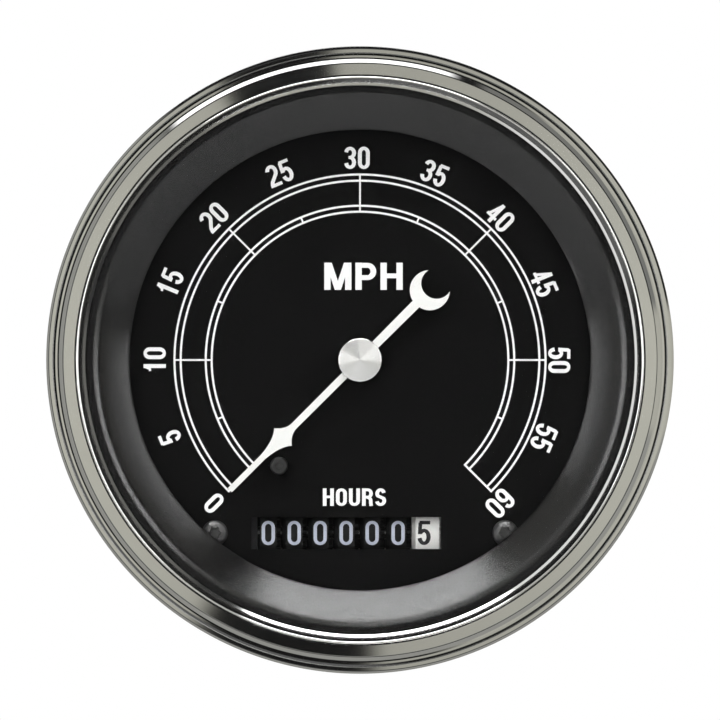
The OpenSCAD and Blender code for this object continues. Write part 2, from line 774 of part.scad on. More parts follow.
module motor_body() color("silver") upright() along_x(motor_left, motor_axis) difference() {
    rod(motor_d / 2, 0, motor_l);
    rod(motor_d / 2 - 1.8, motor_wall, motor_l - motor_wall);
    rod(motor_shaft_r + run_gap, -1, motor_l + 1);
}

module lamp_sockets() color("black") upright() at_each(lamps()) {
    difference() {
        union() {
            rod(lamp_flange_d / 2, case_back - socket_flange_t, case_back);
            rod(socket_r, case_back - eps, case_back + socket_in);
            rod(socket_r, case_back - socket_flange_t - socket_knob_h, case_back - socket_flange_t + eps);
        }
        rod(bulb_r + run_gap, case_back + socket_in - bulb_seat, case_back + socket_in + 1);
        translate([0, 0, case_back - socket_flange_t - socket_knob_h])
            cube([2 * socket_r + 1, socket_slot_w, 2 * socket_slot_h], center = true);
    }
}

module lamp_bulbs() color("lightyellow") upright() at_each(lamps())
    translate([0, 0, case_back + socket_in - bulb_seat]) {
        rod(bulb_r, 0, bulb_l - bulb_r);
        translate([0, 0, bulb_l - bulb_r]) sphere(r = bulb_r);
    }

// Insulating strip outside the case with a boss round each stud through the wall
module terminal_block() color("black") upright() difference() {
    union() {
        translate([-2 * terminal_pitch, terminal_y - block_h / 2, case_back - block_t])
            cube([4 * terminal_pitch, block_h, block_t]);
        at_each(terminal_points()) rod(terminal_boss_r, case_back - eps, case_floor);
    }
    at_each(terminal_points()) rod(terminal_base_r + run_gap, terminal_nut_top - 1, case_floor + 1);
}

// A stud with a wider base, held by its head inside the case and a nut outside
module stepped_stud(free_r, base_r, free_end, step_z, head_w, base_top) {
    rod(free_r, free_end, step_z + eps);
    rod(base_r, step_z, base_top);
    rod(base_r + head_w, case_floor, case_floor + stud_head_h);
}

module nut_and_washer(af, washer_r, bore_r, top) difference() {
    union() {
        rod(washer_r, top - washer_t, top);
        hex(af, top - washer_t - nut_t, top - washer_t + eps);
    }
    rod(bore_r, top - washer_t - nut_t - 1, top + 1);
}

module terminal_studs() color("gold") upright() at_each(terminal_points())
    stepped_stud(terminal_r, terminal_base_r, case_back - terminal_l, terminal_step_z,
        terminal_boss_r - terminal_base_r + terminal_head_w, board_back);

module terminal_nuts() color("gold") upright() at_each(terminal_points())
    nut_and_washer(terminal_nut_af, terminal_washer_r, terminal_base_r + run_gap, terminal_nut_top);

module mounting_studs() color("silver") upright() at_each(stud_points())
    stepped_stud(stud_r, stud_base_r, case_back - stud_l, stud_step_z, stud_head_w, case_floor + eps);

module mounting_nuts() color("silver") upright() at_each(stud_points())
    nut_and_washer(stud_nut_af, stud_washer_r, stud_base_r + run_gap, case_back);

// Blade outline drawn with the tip along +x
boss_r = 1;
bite_d = 0.77 * crescent_d;
bite_x = -crescent_r - 0.24 * crescent_d;
tail_w = 1.23;
tail_end_w = 1.43;
spade_front = spade_r + 4.3;
spade_rear = spade_r - 2.2;

module arrow_2d() {
    half_barb = spade_w / 2;
    neck = [spade_rear, 0.47 * blade_w];
    nose = [spade_front, tip_w / 2];
    barb = [spade_r, half_barb];
    edge = concat(
        [[0, blade_w / 2]],
        bend(neck, [spade_r - 0.9, 0.62 * blade_w], barb),
        bend(barb, [spade_r + 1.2, 0.62 * blade_w], nose),
        [[pointer_r, tip_w / 2]]
    );
    last = len(edge) - 1;
    polygon(concat(edge, [for (i = [last:-1:0]) [edge[i][0], -edge[i][1]]]));
}

module tail_2d() difference() {
    union() {
        polygon([
            [0, tail_w / 2], [0, -tail_w / 2],
            [-crescent_r, -tail_end_w / 2], [-crescent_r, tail_end_w / 2]
        ]);
        translate([-crescent_r, 0]) circle(d = crescent_d);
    }
    translate([bite_x, 0]) circle(d = bite_d);
}

module pointer_blade() color("white") upright() rotate(zero_deg) difference() {
    union() {
        translate([0, 0, blade_z]) linear_extrude(pointer_t) {
            arrow_2d();
            tail_2d();
            circle(d = cap_d - 1);
        }
        translate([0, 0, blade_z + pointer_t - tail_t]) linear_extrude(tail_t - pointer_t + eps)
            difference() {
                tail_2d();
                circle(d = cap_d - 1);
            }
    }
    rod(boss_r + run_gap / 2, blade_z - 2, cap_z + 1);
}

// Turned cap over the blade, with the boss that is pushed on the spindle
module pointer_cap() color("gainsboro") upright() difference() {
    union() {
        lathe(concat(
            [[0, cap_z], [cap_d / 2, cap_z]],
            arc([cap_d / 2 - edge_r, cap_z + cap_h - edge_r], edge_r, 0, 90, 4),
            [[cap_d / 2 - 0.5, cap_z + cap_h - 0.1], [0, cap_z + cap_h - 0.1]]
        ));
        rod(boss_r, dial_face + 0.9, cap_z + eps);
    }
    rod(spindle_r + run_gap / 2, dial_face, cap_z + cap_h - 0.6);
}

// Turned spindle with the collet for the hairspring
module pointer_spindle() color("silver") upright() {
    rod(spindle_r, jewel_top - jewel_h + 0.65, cap_z + cap_h - 0.6);
    rod(collet_r, spring_z - 0.3, spring_z + spring_h + 0.3);
}

module rotor_magnet() color("dimgray") upright() difference() {
    rod(rotor_d / 2, split_z - rotor_h / 2, split_z + rotor_h / 2);
    rod(spindle_r + run_gap / 2, split_z - rotor_h, split_z + rotor_h);
}

// Number drum i: rim, gear ring on its right and, for all but the last, the carry disc on its left
module number_drum(i) {
    left = drum_x(i) - rim_w / 2;
    wide = i == 0 ? tenths_w : rim_w;
    side = i == 0 ? gear_wide : ring_wide;
    upright() along_x(left, drum_axis) difference() {
        union() {
            rod(drum_r, 0, wide);
            translate([0, 0, wide / 2]) linear_extrude(wide / 2 + side)
                if (i == 0) train_gear(drum_gear_teeth, idler_deg);
                else carry_gear(ring_teeth, pinion_deg);
            if (i < drums - 1) {
                rod(carry_r, -carry_wide, eps);
                for (turn = [-9, 9]) rotate(pinion_deg + 180 + turn)
                    translate([carry_r - 0.3, 0, 0]) rod(nub_r, -carry_wide, eps);
            }
        }
        rod(drum_shaft_r + run_gap, -carry_wide - 1, wide + side + 1);
    }
}

module hour_drum_1() color("white") number_drum(0);
module hour_drum_2() color("black") number_drum(1);
module hour_drum_3() color("black") number_drum(2);
module hour_drum_4() color("black") number_drum(3);
module hour_drum_5() color("black") number_drum(4);
module hour_drum_6() color("black") number_drum(5);
module hour_drum_7() color("black") number_drum(6);

// Carry pinion between drum i and the next one, with alternate teeth cut short on the carry side
module carry_pinion(i) {
    left = drum_x(i + 1) + rim_w / 2 + side_gap;
    right = drum_x(i) - rim_w / 2 - side_gap;
    deg = pinion_deg + 180 + 180 / pinion_teeth;
    upright() along_x(left, pinion_axis) difference() {
        union() {
            linear_extrude(ring_wide) carry_gear(pinion_teeth, deg);
            linear_extrude(right - left) carry_gear(pinion_teeth, deg, 2);
        }
        rod(pinion_shaft_r + run_gap, -1, right - left + 1);
    }
}

module transfer_pinion_1() color("ivory") carry_pinion(0);
module transfer_pinion_2() color("ivory") carry_pinion(1);
module transfer_pinion_3() color("ivory") carry_pinion(2);
module transfer_pinion_4() color("ivory") carry_pinion(3);
module transfer_pinion_5() color("ivory") carry_pinion(4);
module transfer_pinion_6() color("ivory") carry_pinion(5);

// Pinion beside the tenths drum and wheel outside the frame on one arbor
module idler_gear() color("wheat") upright() {
    pinion_left = tenths_right + side_gap;
    along_x(pinion_left, idler_axis) {
        linear_extrude(gear_wide - side_gap)
            train_gear(idler_pinion_teeth, idler_deg + 180 + 180 / idler_pinion_teeth);
        rod(idler_shaft_r, 0, bridge_left + plate_t - pinion_left);
    }
    along_x(wheel_left, idler_axis) linear_extrude(gear_wide) train_gear(idler_wheel_teeth, motor_deg);
}

module motor_rotor() color("gold") upright() {
    along_x(wheel_left - side_gap, motor_axis) {
        linear_extrude(gear_wide + 2 * side_gap)
            train_gear(motor_pinion_teeth, motor_deg + 180 + 180 / motor_pinion_teeth);
        rod(motor_shaft_r, 0, motor_left + motor_l + 0.4 - wheel_left);
    }
    along_x(motor_left + motor_wall + rotor_end_gap, motor_axis)
        rod(motor_d / 2 - 2.3, 0, motor_l - 2 * motor_wall - 2 * rotor_end_gap);
}

case_shell();
bezel();
lens();
lens_seal();
trim_ring();
dial_plate();
dial_screws();
stop_peg();
dial_pillars();
chassis_plate();
frame_screws();
chassis_pillars();
board_standoffs();
circuit_board();
voltage_regulator();
filter_capacitors();
control_chips();
resistors();
movement_can();
bobbin_rear();
bobbin_front();
inner_coil();
outer_coil();
movement_pins();
front_bush();
rear_jewel();
hairspring();
spring_anchor();
counter_frame();
drum_shaft();
pinion_shaft();
gear_bridge();
motor_body();
lamp_sockets();
lamp_bulbs();
terminal_block();
terminal_studs();
terminal_nuts();
mounting_studs();
mounting_nuts();
pointer_blade();
pointer_cap();
pointer_spindle();
rotor_magnet();
hour_drum_1();
hour_drum_2();
hour_drum_3();
hour_drum_4();
hour_drum_5();
hour_drum_6();
hour_drum_7();
transfer_pinion_1();
transfer_pinion_2();
transfer_pinion_3();
transfer_pinion_4();
transfer_pinion_5();
transfer_pinion_6();
idler_gear();
motor_rotor();
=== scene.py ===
"""Dresses the panel speedometer: finishes, printed dial, figures, threads and light around the frame.

Shapes are set out in gauge millimetres: x to the reader's right, y up the dial and z towards the reader,
with z = 0 on the panel face. Materials, lights and the camera are in metres, in the frame's own axes.
"""
import json
import math
from collections import namedtuple

import bmesh
import bpy
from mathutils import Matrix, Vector
from mathutils.geometry import delaunay_2d_cdt


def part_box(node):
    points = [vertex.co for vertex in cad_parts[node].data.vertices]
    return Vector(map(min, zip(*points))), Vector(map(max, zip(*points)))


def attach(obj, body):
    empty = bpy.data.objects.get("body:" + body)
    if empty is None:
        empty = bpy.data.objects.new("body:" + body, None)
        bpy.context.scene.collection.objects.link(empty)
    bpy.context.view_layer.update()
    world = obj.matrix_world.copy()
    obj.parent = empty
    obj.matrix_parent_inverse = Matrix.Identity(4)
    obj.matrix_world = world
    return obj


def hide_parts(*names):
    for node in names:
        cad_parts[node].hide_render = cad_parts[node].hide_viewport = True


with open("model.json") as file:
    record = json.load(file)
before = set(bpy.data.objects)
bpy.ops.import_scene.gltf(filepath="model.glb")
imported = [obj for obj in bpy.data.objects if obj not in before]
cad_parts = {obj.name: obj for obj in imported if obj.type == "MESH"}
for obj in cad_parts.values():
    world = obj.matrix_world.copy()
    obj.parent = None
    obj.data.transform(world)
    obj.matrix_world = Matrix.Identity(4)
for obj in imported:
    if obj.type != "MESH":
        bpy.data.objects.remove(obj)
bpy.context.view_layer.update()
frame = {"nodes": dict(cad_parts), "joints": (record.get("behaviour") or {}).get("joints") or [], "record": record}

MM = 0.001
WELD = 1e-7
LATHE_STEPS = 256
CREASE_DEG = 30

cad = frame["nodes"]
colours = {m["slot"]: m["base_color"] for m in frame["record"]["materials"]}
slot_of = {s["node"]: s["material_slot"] for s in frame["record"]["subparts"]}
mounts = {m["name"]: m["dims"] for m in frame["record"]["mounts"]}
hinges = {j["name"]: Vector(j["pos_m"]) / MM for j in frame["joints"]}


def front(node):
    """Level of a node's foremost face."""
    return -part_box(node)[0].y / MM


def back(node):
    """Level of a node's rearmost face."""
    return -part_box(node)[1].y / MM


def right_edge(node):
    """A node's rightmost x."""
    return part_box(node)[1].x / MM


def centre(node):
    """Middle of a node's box as the reader sees it."""
    low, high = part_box(node)
    return (low.x + high.x) / 2 / MM, (low.z + high.z) / 2 / MM


def radius(node):
    """Half of a node's height on the dial."""
    low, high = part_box(node)
    return (high.z - low.z) / 2 / MM


# Radii set out from the barrel
BARREL_R = mounts["case_barrel"]["r_mm"]
BEZEL_R = BARREL_R + 5.25
SIGHT_R = BARREL_R - 0.75
LENS_R = BARREL_R + 2
RING_FACE_R = BARREL_R - 1.75
RING_FLANGE_R = BARREL_R + 4.45
DIAL_SIGHT_R = RING_FACE_R - 5.6

# Levels read from the frame, and the sheet thickness of the ring and the hem
CROWN_TOP = front("bezel")
LENS_FRONT = front("lens")
LENS_BACK = back("lens")
RING_FRONT = front("trim_ring")
RING_T = 0.6
FLANGE_FRONT = RING_FRONT - RING_T
HEM_T = 0.6
DIAL_FACE = front("dial_plate")
CAP_TOP = front("pointer_cap")
CASE_BACK = back("case_shell")


def polar(r, deg):
    return r * math.cos(math.radians(deg)), r * math.sin(math.radians(deg))


def arc(cx, cy, rx, ry, start, end, steps=10):
    """Points along an ellipse from one angle to another."""
    turns = [start + (end - start) * i / steps for i in range(steps + 1)]
    return [(cx + rx * math.cos(math.radians(a)), cy + ry * math.sin(math.radians(a))) for a in turns]


def bend(a, b, c, steps):
    """Points along the curve from a to c that leans towards b."""
    shares = [i / steps for i in range(steps + 1)]
    return [tuple((1 - t) ** 2 * a + 2 * t * (1 - t) * b + t * t * c) for t in shares]


def in_frame(point):
    """A gauge point in the frame's axes, in metres."""
    x, y, z = point
    return x * MM, -z * MM, y * MM


def add_piece(name, solid, material, body="case", stands_for=(), crease=CREASE_DEG):
    """Makes one welded mesh piece from points and faces in gauge millimetres."""
    points, faces = solid
    mesh = bpy.data.meshes.new(name)
    mesh.from_pydata([in_frame(p) for p in points], [], faces)
    shape = bmesh.new()
    shape.from_mesh(mesh)
    bmesh.ops.remove_doubles(shape, verts=shape.verts, dist=WELD)
    bmesh.ops.recalc_face_normals(shape, faces=shape.faces)
    shape.to_mesh(mesh)
    shape.free()
    mesh.shade_smooth()
    mesh.set_sharp_from_angle(angle=math.radians(crease))
    mesh.materials.append(material)
    piece = bpy.data.objects.new(name, mesh)
    bpy.context.scene.collection.objects.link(piece)
    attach(piece, body)
    if stands_for:
        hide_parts(*stands_for)
    return piece


def joined(solids):
    """One list of points and faces from several."""
    points, faces = [], []
    for more_points, more_faces in solids:
        start = len(points)
        points.extend(more_points)
        faces.extend([[start + i for i in face] for face in more_faces])
    return points, faces


def turned(section_at, at=(0, 0), steps=LATHE_STEPS):
    """Solid about an axis along z at the given place; section_at(deg) is a closed loop of (r, z)."""
    points = []
    for k in range(steps):
        deg = 360 * k / steps
        for r, z in section_at(deg):
            x, y = polar(r, deg)
            points.append((at[0] + x, at[1] + y, z))
    count = len(points) // steps
    faces = []
    for k in range(steps):
        here = k * count
        there = (k + 1) % steps * count
        for i in range(count):
            j = (i + 1) % count
            faces.append([here + i, there + i, there + j, here + j])
    return points, faces


def lathe(section, at=(0, 0), steps=LATHE_STEPS):
    return turned(lambda deg: section, at, steps)


# Sockets of the colour Mix node, which has several of the same name
MIX_FIRST = 6
MIX_SECOND = 7
MIX_RESULT = 2


class Nodes:
    """Adds linked nodes to one shader tree."""

    def __init__(self, tree):
        self.tree = tree

    def add(self, kind, settings=None, inputs=None):
        node = self.tree.nodes.new("ShaderNode" + kind)
        for key, value in (settings or {}).items():
            setattr(node, key, value)
        for key, value in (inputs or {}).items():
            self.feed(node.inputs[key], value)
        return node

    def feed(self, socket, value):
        if isinstance(value, bpy.types.NodeSocket):
            self.tree.links.new(value, socket)
        else:
            socket.default_value = value

    def math(self, operation, *values):
        return self.add("Math", {"operation": operation}, dict(enumerate(values))).outputs[0]

    def spread(self, value, low, high, from_low=0.0, from_high=1.0, kind="LINEAR"):
        inputs = {"Value": value, "From Min": from_low, "From Max": from_high}
        inputs.update({"To Min": low, "To Max": high})
        return self.add("MapRange", {"interpolation_type": kind}, inputs).outputs["Result"]

    def blend(self, share, first, second):
        inputs = {"Factor": share, MIX_FIRST: first, MIX_SECOND: second}
        return self.add("Mix", {"data_type": "RGBA"}, inputs).outputs[MIX_RESULT]

    def object_coords(self, stretch=(1, 1, 1)):
        coords = self.add("TexCoord").outputs["Object"]
        return self.add("Mapping", None, {"Vector": coords, "Scale": stretch}).outputs["Vector"]

    def noise(self, grain, detail=4.0, stretch=(1, 1, 1)):
        """Noise with about grain features to the metre."""
        inputs = {"Vector": self.object_coords(stretch), "Scale": grain, "Detail": detail}
        return self.add("TexNoise", None, inputs).outputs["Fac"]

    def waves(self, per_metre, shape, axis, distortion=0.0):
        """Bands across an axis or rings about it."""
        settings = {"wave_type": shape, "bands_direction": axis, "rings_direction": axis}
        inputs = {"Vector": self.object_coords(), "Scale": per_metre, "Distortion": distortion}
        return self.add("TexWave", settings, inputs).outputs["Fac"]


GLOSS_VARY = 0.2


def tint(colour, share):
    return tuple(min(1.0, c * share) for c in colour[:3]) + (1.0,)


def shader_inputs(material):
    return material.node_tree.nodes["Principled BSDF"].inputs


def finish(name, colour, rough, metallic=0.0, vary=0.12, grain=900.0, relief=0.1, depth=0.02,
           stretch=(1, 1, 1), pattern=None, sockets=None):
    """A procedural surface: mottled colour, uneven gloss and a fine relief, depth in millimetres."""
    material = bpy.data.materials.new(name)
    material.use_nodes = True
    nodes = Nodes(material.node_tree)
    surface = shader_inputs(material)
    mottle = nodes.noise(grain, stretch=stretch)
    height = pattern(nodes) if pattern else mottle
    dark, pale = tint(colour, 1 - vary), tint(colour, 1 + vary)
    nodes.feed(surface["Base Color"], nodes.blend(mottle, dark, pale))
    gloss = nodes.spread(mottle, rough * (1 - GLOSS_VARY), rough * (1 + GLOSS_VARY))
    nodes.feed(surface["Roughness"], gloss)
    bump = nodes.add("Bump", None, {"Height": height, "Strength": relief, "Distance": depth * MM})
    nodes.feed(surface["Normal"], bump.outputs["Normal"])
    surface["Metallic"].default_value = metallic
    for key, value in (sockets or {}).items():
        nodes.feed(surface[key], value)
    return material


def turned_marks(nodes):
    return nodes.waves(per_metre=2600.0, shape="RINGS", axis="Y", distortion=2.0)


def wire_turns(nodes):
    return nodes.waves(per_metre=1500.0, shape="BANDS", axis="Y")


def moulding_grain(nodes):
    return nodes.noise(grain=5200.0, detail=2.0)


def metal(name, slot, **looks):
    return finish(name, colours[slot], metallic=1.0, **looks)


def moulded(name, slot, shade=1, **looks):
    return finish(name, tint(colours[slot], shade), pattern=moulding_grain, **looks)


def painted(name, slot, shade=1, **looks):
    return finish(name, tint(colours[slot], shade), **looks)


def printed(name, colour, **looks):
    return finish(name, colour, depth=0.01, **looks)


def glass(name, colour, rough, index):
    sockets = {"Transmission Weight": 1.0, "IOR": index}
    return finish(name, colour, rough, vary=0.01, grain=60.0, relief=0.0, sockets=sockets)


def spun_cap():
    """Aluminium with concentric turning marks, which draw the light out into wedges."""
    marks = {"Anisotropic": 0.95, "Anisotropic Rotation": 0.25}
    material = painted("cap_spun", "cap_aluminium", shade=1.15, rough=0.22, metallic=0.85, vary=0.03,
                       grain=1400.0, relief=0.03, depth=0.01, pattern=turned_marks, sockets=marks)
    nodes = Nodes(material.node_tree)
    tangent = nodes.add("Tangent", {"direction_type": "RADIAL", "axis": "Y"}).outputs["Tangent"]
    nodes.feed(shader_inputs(material)["Tangent"], tangent)
    return material


def striped(name, slot, bands, rough, per_metre):
    """Two colours in bands across x, as on a printed sleeve or a ringed body."""
    base = colours[slot]
    band_start, band_full = 0.72, 0.78
    material = finish(name, base, rough, vary=0.08)
    nodes = Nodes(material.node_tree)
    share = nodes.spread(nodes.waves(per_metre, "BANDS", "X"), 0.0, 1.0, band_start, band_full)
    ground = nodes.blend(nodes.noise(grain=1200.0), tint(base, 0.9), tint(base, 1.1))
    nodes.feed(shader_inputs(material)["Base Color"], nodes.blend(share, ground, tint(bands, 1)))
    return material


def board_finish():
    """Solder mask with paler tracks under it."""
    base = colours["board_green"]
    track_full, track_end = 0.05, 0.09
    material = finish("board_mask", base, rough=0.35, vary=0.15, relief=0.2, depth=0.03)
    nodes = Nodes(material.node_tree)
    settings = {"feature": "DISTANCE_TO_EDGE", "distance": "MANHATTAN"}
    inputs = {"Vector": nodes.object_coords(), "Scale": 420.0, "Randomness": 0.35}
    cells = nodes.add("TexVoronoi", settings, inputs)
    track = nodes.spread(cells.outputs["Distance"], 1.0, 0.0, track_full, track_end)
    nodes.feed(shader_inputs(material)["Base Color"], nodes.blend(track, tint(base, 1), tint(base, 2.2)))
    return material


SLEEVE_BAND = (0.7, 0.72, 0.75)
RESISTOR_RING = (0.3, 0.07, 0.03)
CLEAR = (1.0, 1.0, 1.0)
INK = (0.95, 0.95, 0.95)
FIGURE_PALE = (0.52, 0.555, 0.66)
FIGURE_DARK = (0.012, 0.012, 0.014)

finishes = {
    "case_black": painted("case_paint", "case_black", rough=0.36, vary=0.1, grain=1100.0, relief=0.12,
                          depth=0.05),
    "bezel_chrome": metal("bezel_plating", "bezel_chrome", rough=0.07, vary=0.03, grain=260.0, relief=0.03,
                          depth=0.004),
    "lens_glass": glass("lens_clear", CLEAR, rough=0.006, index=1.45),
    "seal_rubber": painted("seal_black", "seal_rubber", rough=0.75, vary=0.2, grain=2200.0, relief=0.3),
    "trim_black": painted("trim_satin", "trim_black", shade=0.12, rough=0.19, grain=3200.0, relief=0.05,
                          depth=0.01, sockets={"Specular IOR Level": 0.65}),
    "dial_black": painted("dial_paint", "dial_black", shade=0.3, rough=0.6, grain=2400.0, relief=0.08,
                          depth=0.01, sockets={"Specular IOR Level": 0.08}),
    "screw_black": painted("screw_oxide", "screw_black", shade=3, rough=0.4, metallic=0.8, vary=0.3,
                           grain=1800.0, relief=0.4, depth=0.03),
    "peg_black": painted("peg_sleeve", "peg_black", shade=0.5, rough=0.4, vary=0.3, grain=2600.0,
                         relief=0.2),
    "brass": metal("brass_turned", "brass", rough=0.26, vary=0.1, grain=700.0, relief=0.15,
                   pattern=turned_marks),
    "zinc_steel": metal("zinc_plating", "zinc_steel", rough=0.3, grain=520.0, relief=0.08),
    "can_steel": metal("can_nickel", "can_steel", rough=0.28, vary=0.08, stretch=(1, 12, 1)),
    "shaft_steel": metal("shaft_ground", "shaft_steel", rough=0.2, vary=0.05, grain=1500.0, relief=0.08,
                         depth=0.01, stretch=(9, 1, 1)),
    "board_green": board_finish(),
    "chip_black": moulded("chip_moulded", "chip_black", rough=0.5, vary=0.15, relief=0.2),
    "capacitor_blue": striped("capacitor_sleeve", "capacitor_blue", SLEEVE_BAND, rough=0.35,
                              per_metre=45.0),
    "resistor_tan": striped("resistor_rings", "resistor_tan", RESISTOR_RING, rough=0.45,
                            per_metre=300.0),
    "bobbin_ivory": moulded("bobbin_moulded", "bobbin_ivory", rough=0.5, vary=0.06, relief=0.15),
    "coil_copper": metal("coil_wire", "coil_copper", rough=0.3, vary=0.15, grain=1200.0, relief=0.6,
                         depth=0.08, pattern=wire_turns),
    "jewel_red": glass("jewel_ruby", colours["jewel_red"], rough=0.02, index=1.76),
    "spring_bronze": metal("spring_strip", "spring_bronze", rough=0.25, vary=0.08, grain=1500.0,
                           relief=0.05, depth=0.01),
    "magnet_grey": painted("magnet_pressed", "magnet_grey", rough=0.6, metallic=0.4, vary=0.25,
                           grain=2400.0, relief=0.4, depth=0.04),
    "pointer_white": painted("pointer_enamel", "pointer_white", rough=0.4, vary=0.02, grain=1500.0,
                             relief=0.05, depth=0.01),
    "cap_aluminium": spun_cap(),
    "drum_white": moulded("drum_pale", "drum_white", shade=1.1, rough=0.4, vary=0.05),
    "drum_black": moulded("drum_dark", "drum_black", shade=0.5, rough=0.5, vary=0.2,
                          sockets={"Specular IOR Level": 0.2}),
    "gear_ivory": moulded("gear_moulded", "gear_ivory", rough=0.45, vary=0.06, relief=0.15),
    "rotor_brass": metal("rotor_turned", "rotor_brass", rough=0.25, vary=0.1, grain=700.0, relief=0.15),
    "socket_black": moulded("socket_moulded", "socket_black", rough=0.32, vary=0.2, relief=0.12),
    "bulb_glass": glass("bulb_clear", colours["bulb_glass"], rough=0.03, index=1.45),
    "block_black": moulded("block_moulded", "block_black", rough=0.5, vary=0.18, relief=0.25),
}
dial_ink = printed("dial_ink", INK, rough=0.55, vary=0.02, grain=2600.0, relief=0.06)
pale_ink = printed("figure_ink_pale", FIGURE_PALE, rough=0.5, vary=0.06, grain=1800.0, relief=0.08)
dark_ink = printed("figure_ink_dark", FIGURE_DARK, rough=0.45, vary=0.2, grain=1800.0, relief=0.08)
# Painted shade: the counter frame is coloured near black in place of its zinc, standing in for the shade at the
# window's end.
painted_shade_frame = finish("frame_painted_shade", FIGURE_DARK, rough=0.45, metallic=0.3, vary=0.3)

# Every node takes its slot's finish, except the counter frame, which takes the painted shade.
for node_name, node in cad.items():
    node.data.materials.clear()
    node.data.materials.append(painted_shade_frame if node_name == "counter_frame" else finishes[slot_of[node_name]])


def dress(name, solid, node, body="case", crease=CREASE_DEG):
    """A piece that stands for one node and takes its finish."""
    slot = slot_of[node]
    return add_piece(name, solid, finishes[slot], body, (node,), crease)


# Bezel, lens and trim ring
BEAD_STEP_DEG = 5
BEZEL_CREASE = 6
RING_CREASE = 25


def bead(r, z, size, start, end):
    """A rounded edge in fine steps, for a surface that mirrors the room."""
    return arc(r, z, size, size, start, end, round((end - start) / BEAD_STEP_DEG))


def bezel_section():
    """Stepped rim from the edge in: outer band, groove, middle band, riser, slope, crown, lip and land."""
    rim = 0.2
    edge_end = 50
    hem_r = BARREL_R + 2.35
    flange_pocket_r = BEZEL_R - 0.7
    lens_pocket_r = LENS_R + 0.2
    ease = 0.05
    band_fall = 0.08
    outer_top = CROWN_TOP - 3.2
    edge_level = outer_top - 0.9
    edge_in = BEZEL_R - 0.33
    edge_rise = 0.54
    outer_out = BEZEL_R - 0.45
    outer_in = BEZEL_R - 0.98
    groove_in = BEZEL_R - 1.36
    groove_level = outer_top - 0.14
    groove_rise = 0.36
    middle_top = CROWN_TOP - 2.2
    middle_fall = 0.05
    middle_out = groove_in - ease
    middle_in = BEZEL_R - 1.72
    slope_out = BEZEL_R - 1.95
    slope_foot = middle_top + 0.205
    slope_in = BEZEL_R - 2.52
    slope_top = slope_foot + 0.68
    step_in = BEZEL_R - 2.63
    crown_out = BEZEL_R - 2.7
    crown_fall = 0.32
    crown_in = BEZEL_R - 4.36
    seam_level = CROWN_TOP - 0.3
    seam_w = 0.2
    lip = 0.2
    lip_r = crown_in - seam_w - lip
    lip_end = 135
    land_out = SIGHT_R + 0.42
    land_top = LENS_FRONT + 1.1
    land_in = SIGHT_R + 0.06
    land_fall = 0.16
    return (
        [(hem_r, 0)]
        + bead(BEZEL_R - rim, rim, rim, -90, 0)
        + bead(BEZEL_R - rim, edge_level, rim, 0, edge_end)
        + [(edge_in, edge_level + edge_rise), (outer_out, outer_top - band_fall)]
        + [(outer_in + ease, outer_top), (outer_in, outer_top - ease)]
        + [(outer_in, groove_level), (groove_in, groove_level + groove_rise)]
        + [(groove_in, middle_top - middle_fall - ease), (middle_out, middle_top - middle_fall)]
        + [(middle_in, middle_top), (slope_out, slope_foot), (slope_in, slope_top)]
        + [(step_in, slope_top), (step_in, CROWN_TOP - crown_fall - 2 * ease)]
        + [(crown_out, CROWN_TOP - crown_fall)]
        + [(crown_in + ease, CROWN_TOP), (crown_in, CROWN_TOP - ease)]
        + [(crown_in, seam_level), (crown_in - seam_w, seam_level)]
        + bead(lip_r, CROWN_TOP - ease - lip, lip, 0, lip_end)
        + [(land_out, land_top), (land_in, land_top - land_fall), (SIGHT_R, land_top - 2 * land_fall)]
        + [(SIGHT_R, LENS_FRONT), (lens_pocket_r, LENS_FRONT), (lens_pocket_r, RING_FRONT)]
        + [(flange_pocket_r, RING_FRONT), (flange_pocket_r, HEM_T), (hem_r, HEM_T)]
    )


def lens_section():
    edge = 0.3
    return [
        (0, LENS_BACK), (LENS_R - edge, LENS_BACK), (LENS_R, LENS_BACK + edge),
        (LENS_R, LENS_FRONT - edge), (LENS_R - edge, LENS_FRONT), (0, LENS_FRONT),
    ]


def ring_section():
    """Flange under the lens, a narrow rim that leans in, and a slightly swelled slope down to the dial."""
    edge = 0.3
    edge_steps = 5
    rim_start, rim_end = 90 + 14, 90 + 20
    rim_bend = 8.0
    rim_steps = 6
    slope_start = math.radians(24)
    slope_steps = 12
    lip = 0.12
    lip_level = DIAL_FACE + 2.1
    fold = 0.15
    flat_edge = arc(RING_FACE_R, RING_FRONT - edge, edge, edge, 90, rim_start, edge_steps)
    turn_x, turn_z = polar(rim_bend, rim_start)
    rim_r, rim_z = flat_edge[-1][0] - turn_x, flat_edge[-1][1] - turn_z
    rim = arc(rim_r, rim_z, rim_bend, rim_bend, rim_start, rim_end, rim_steps)
    start = Vector(rim[-1])
    lip_edge = Vector((DIAL_SIGHT_R + lip, lip_level))
    chord = lip_edge - start
    slope = math.atan2(chord.y, chord.x) + math.pi
    swell = slope - slope_start
    lean = start + chord / 2 + Vector((chord.y, -chord.x)) * math.tan(swell) / 2
    return (
        [(RING_FLANGE_R, FLANGE_FRONT), (RING_FLANGE_R, RING_FRONT)]
        + flat_edge
        + rim[1:]
        + bend(start, lean, lip_edge, slope_steps)[1:]
        + [(DIAL_SIGHT_R, lip_level - lip), (DIAL_SIGHT_R, lip_level - RING_T / math.cos(slope))]
        + [(RING_FACE_R - fold, FLANGE_FRONT)]
    )


dress("bezel_rim", lathe(bezel_section()), "bezel", crease=BEZEL_CREASE)
lens = dress("lens_pane", lathe(lens_section()), "lens")
lens.visible_shadow = False
dress("trim_ring_slope", lathe(ring_section()), "trim_ring", crease=RING_CREASE)

# Strokes of printed signs
MITRE_LEAST = 0.5
COVERED_FACES = 1
MERGE_GAP = 1e-5


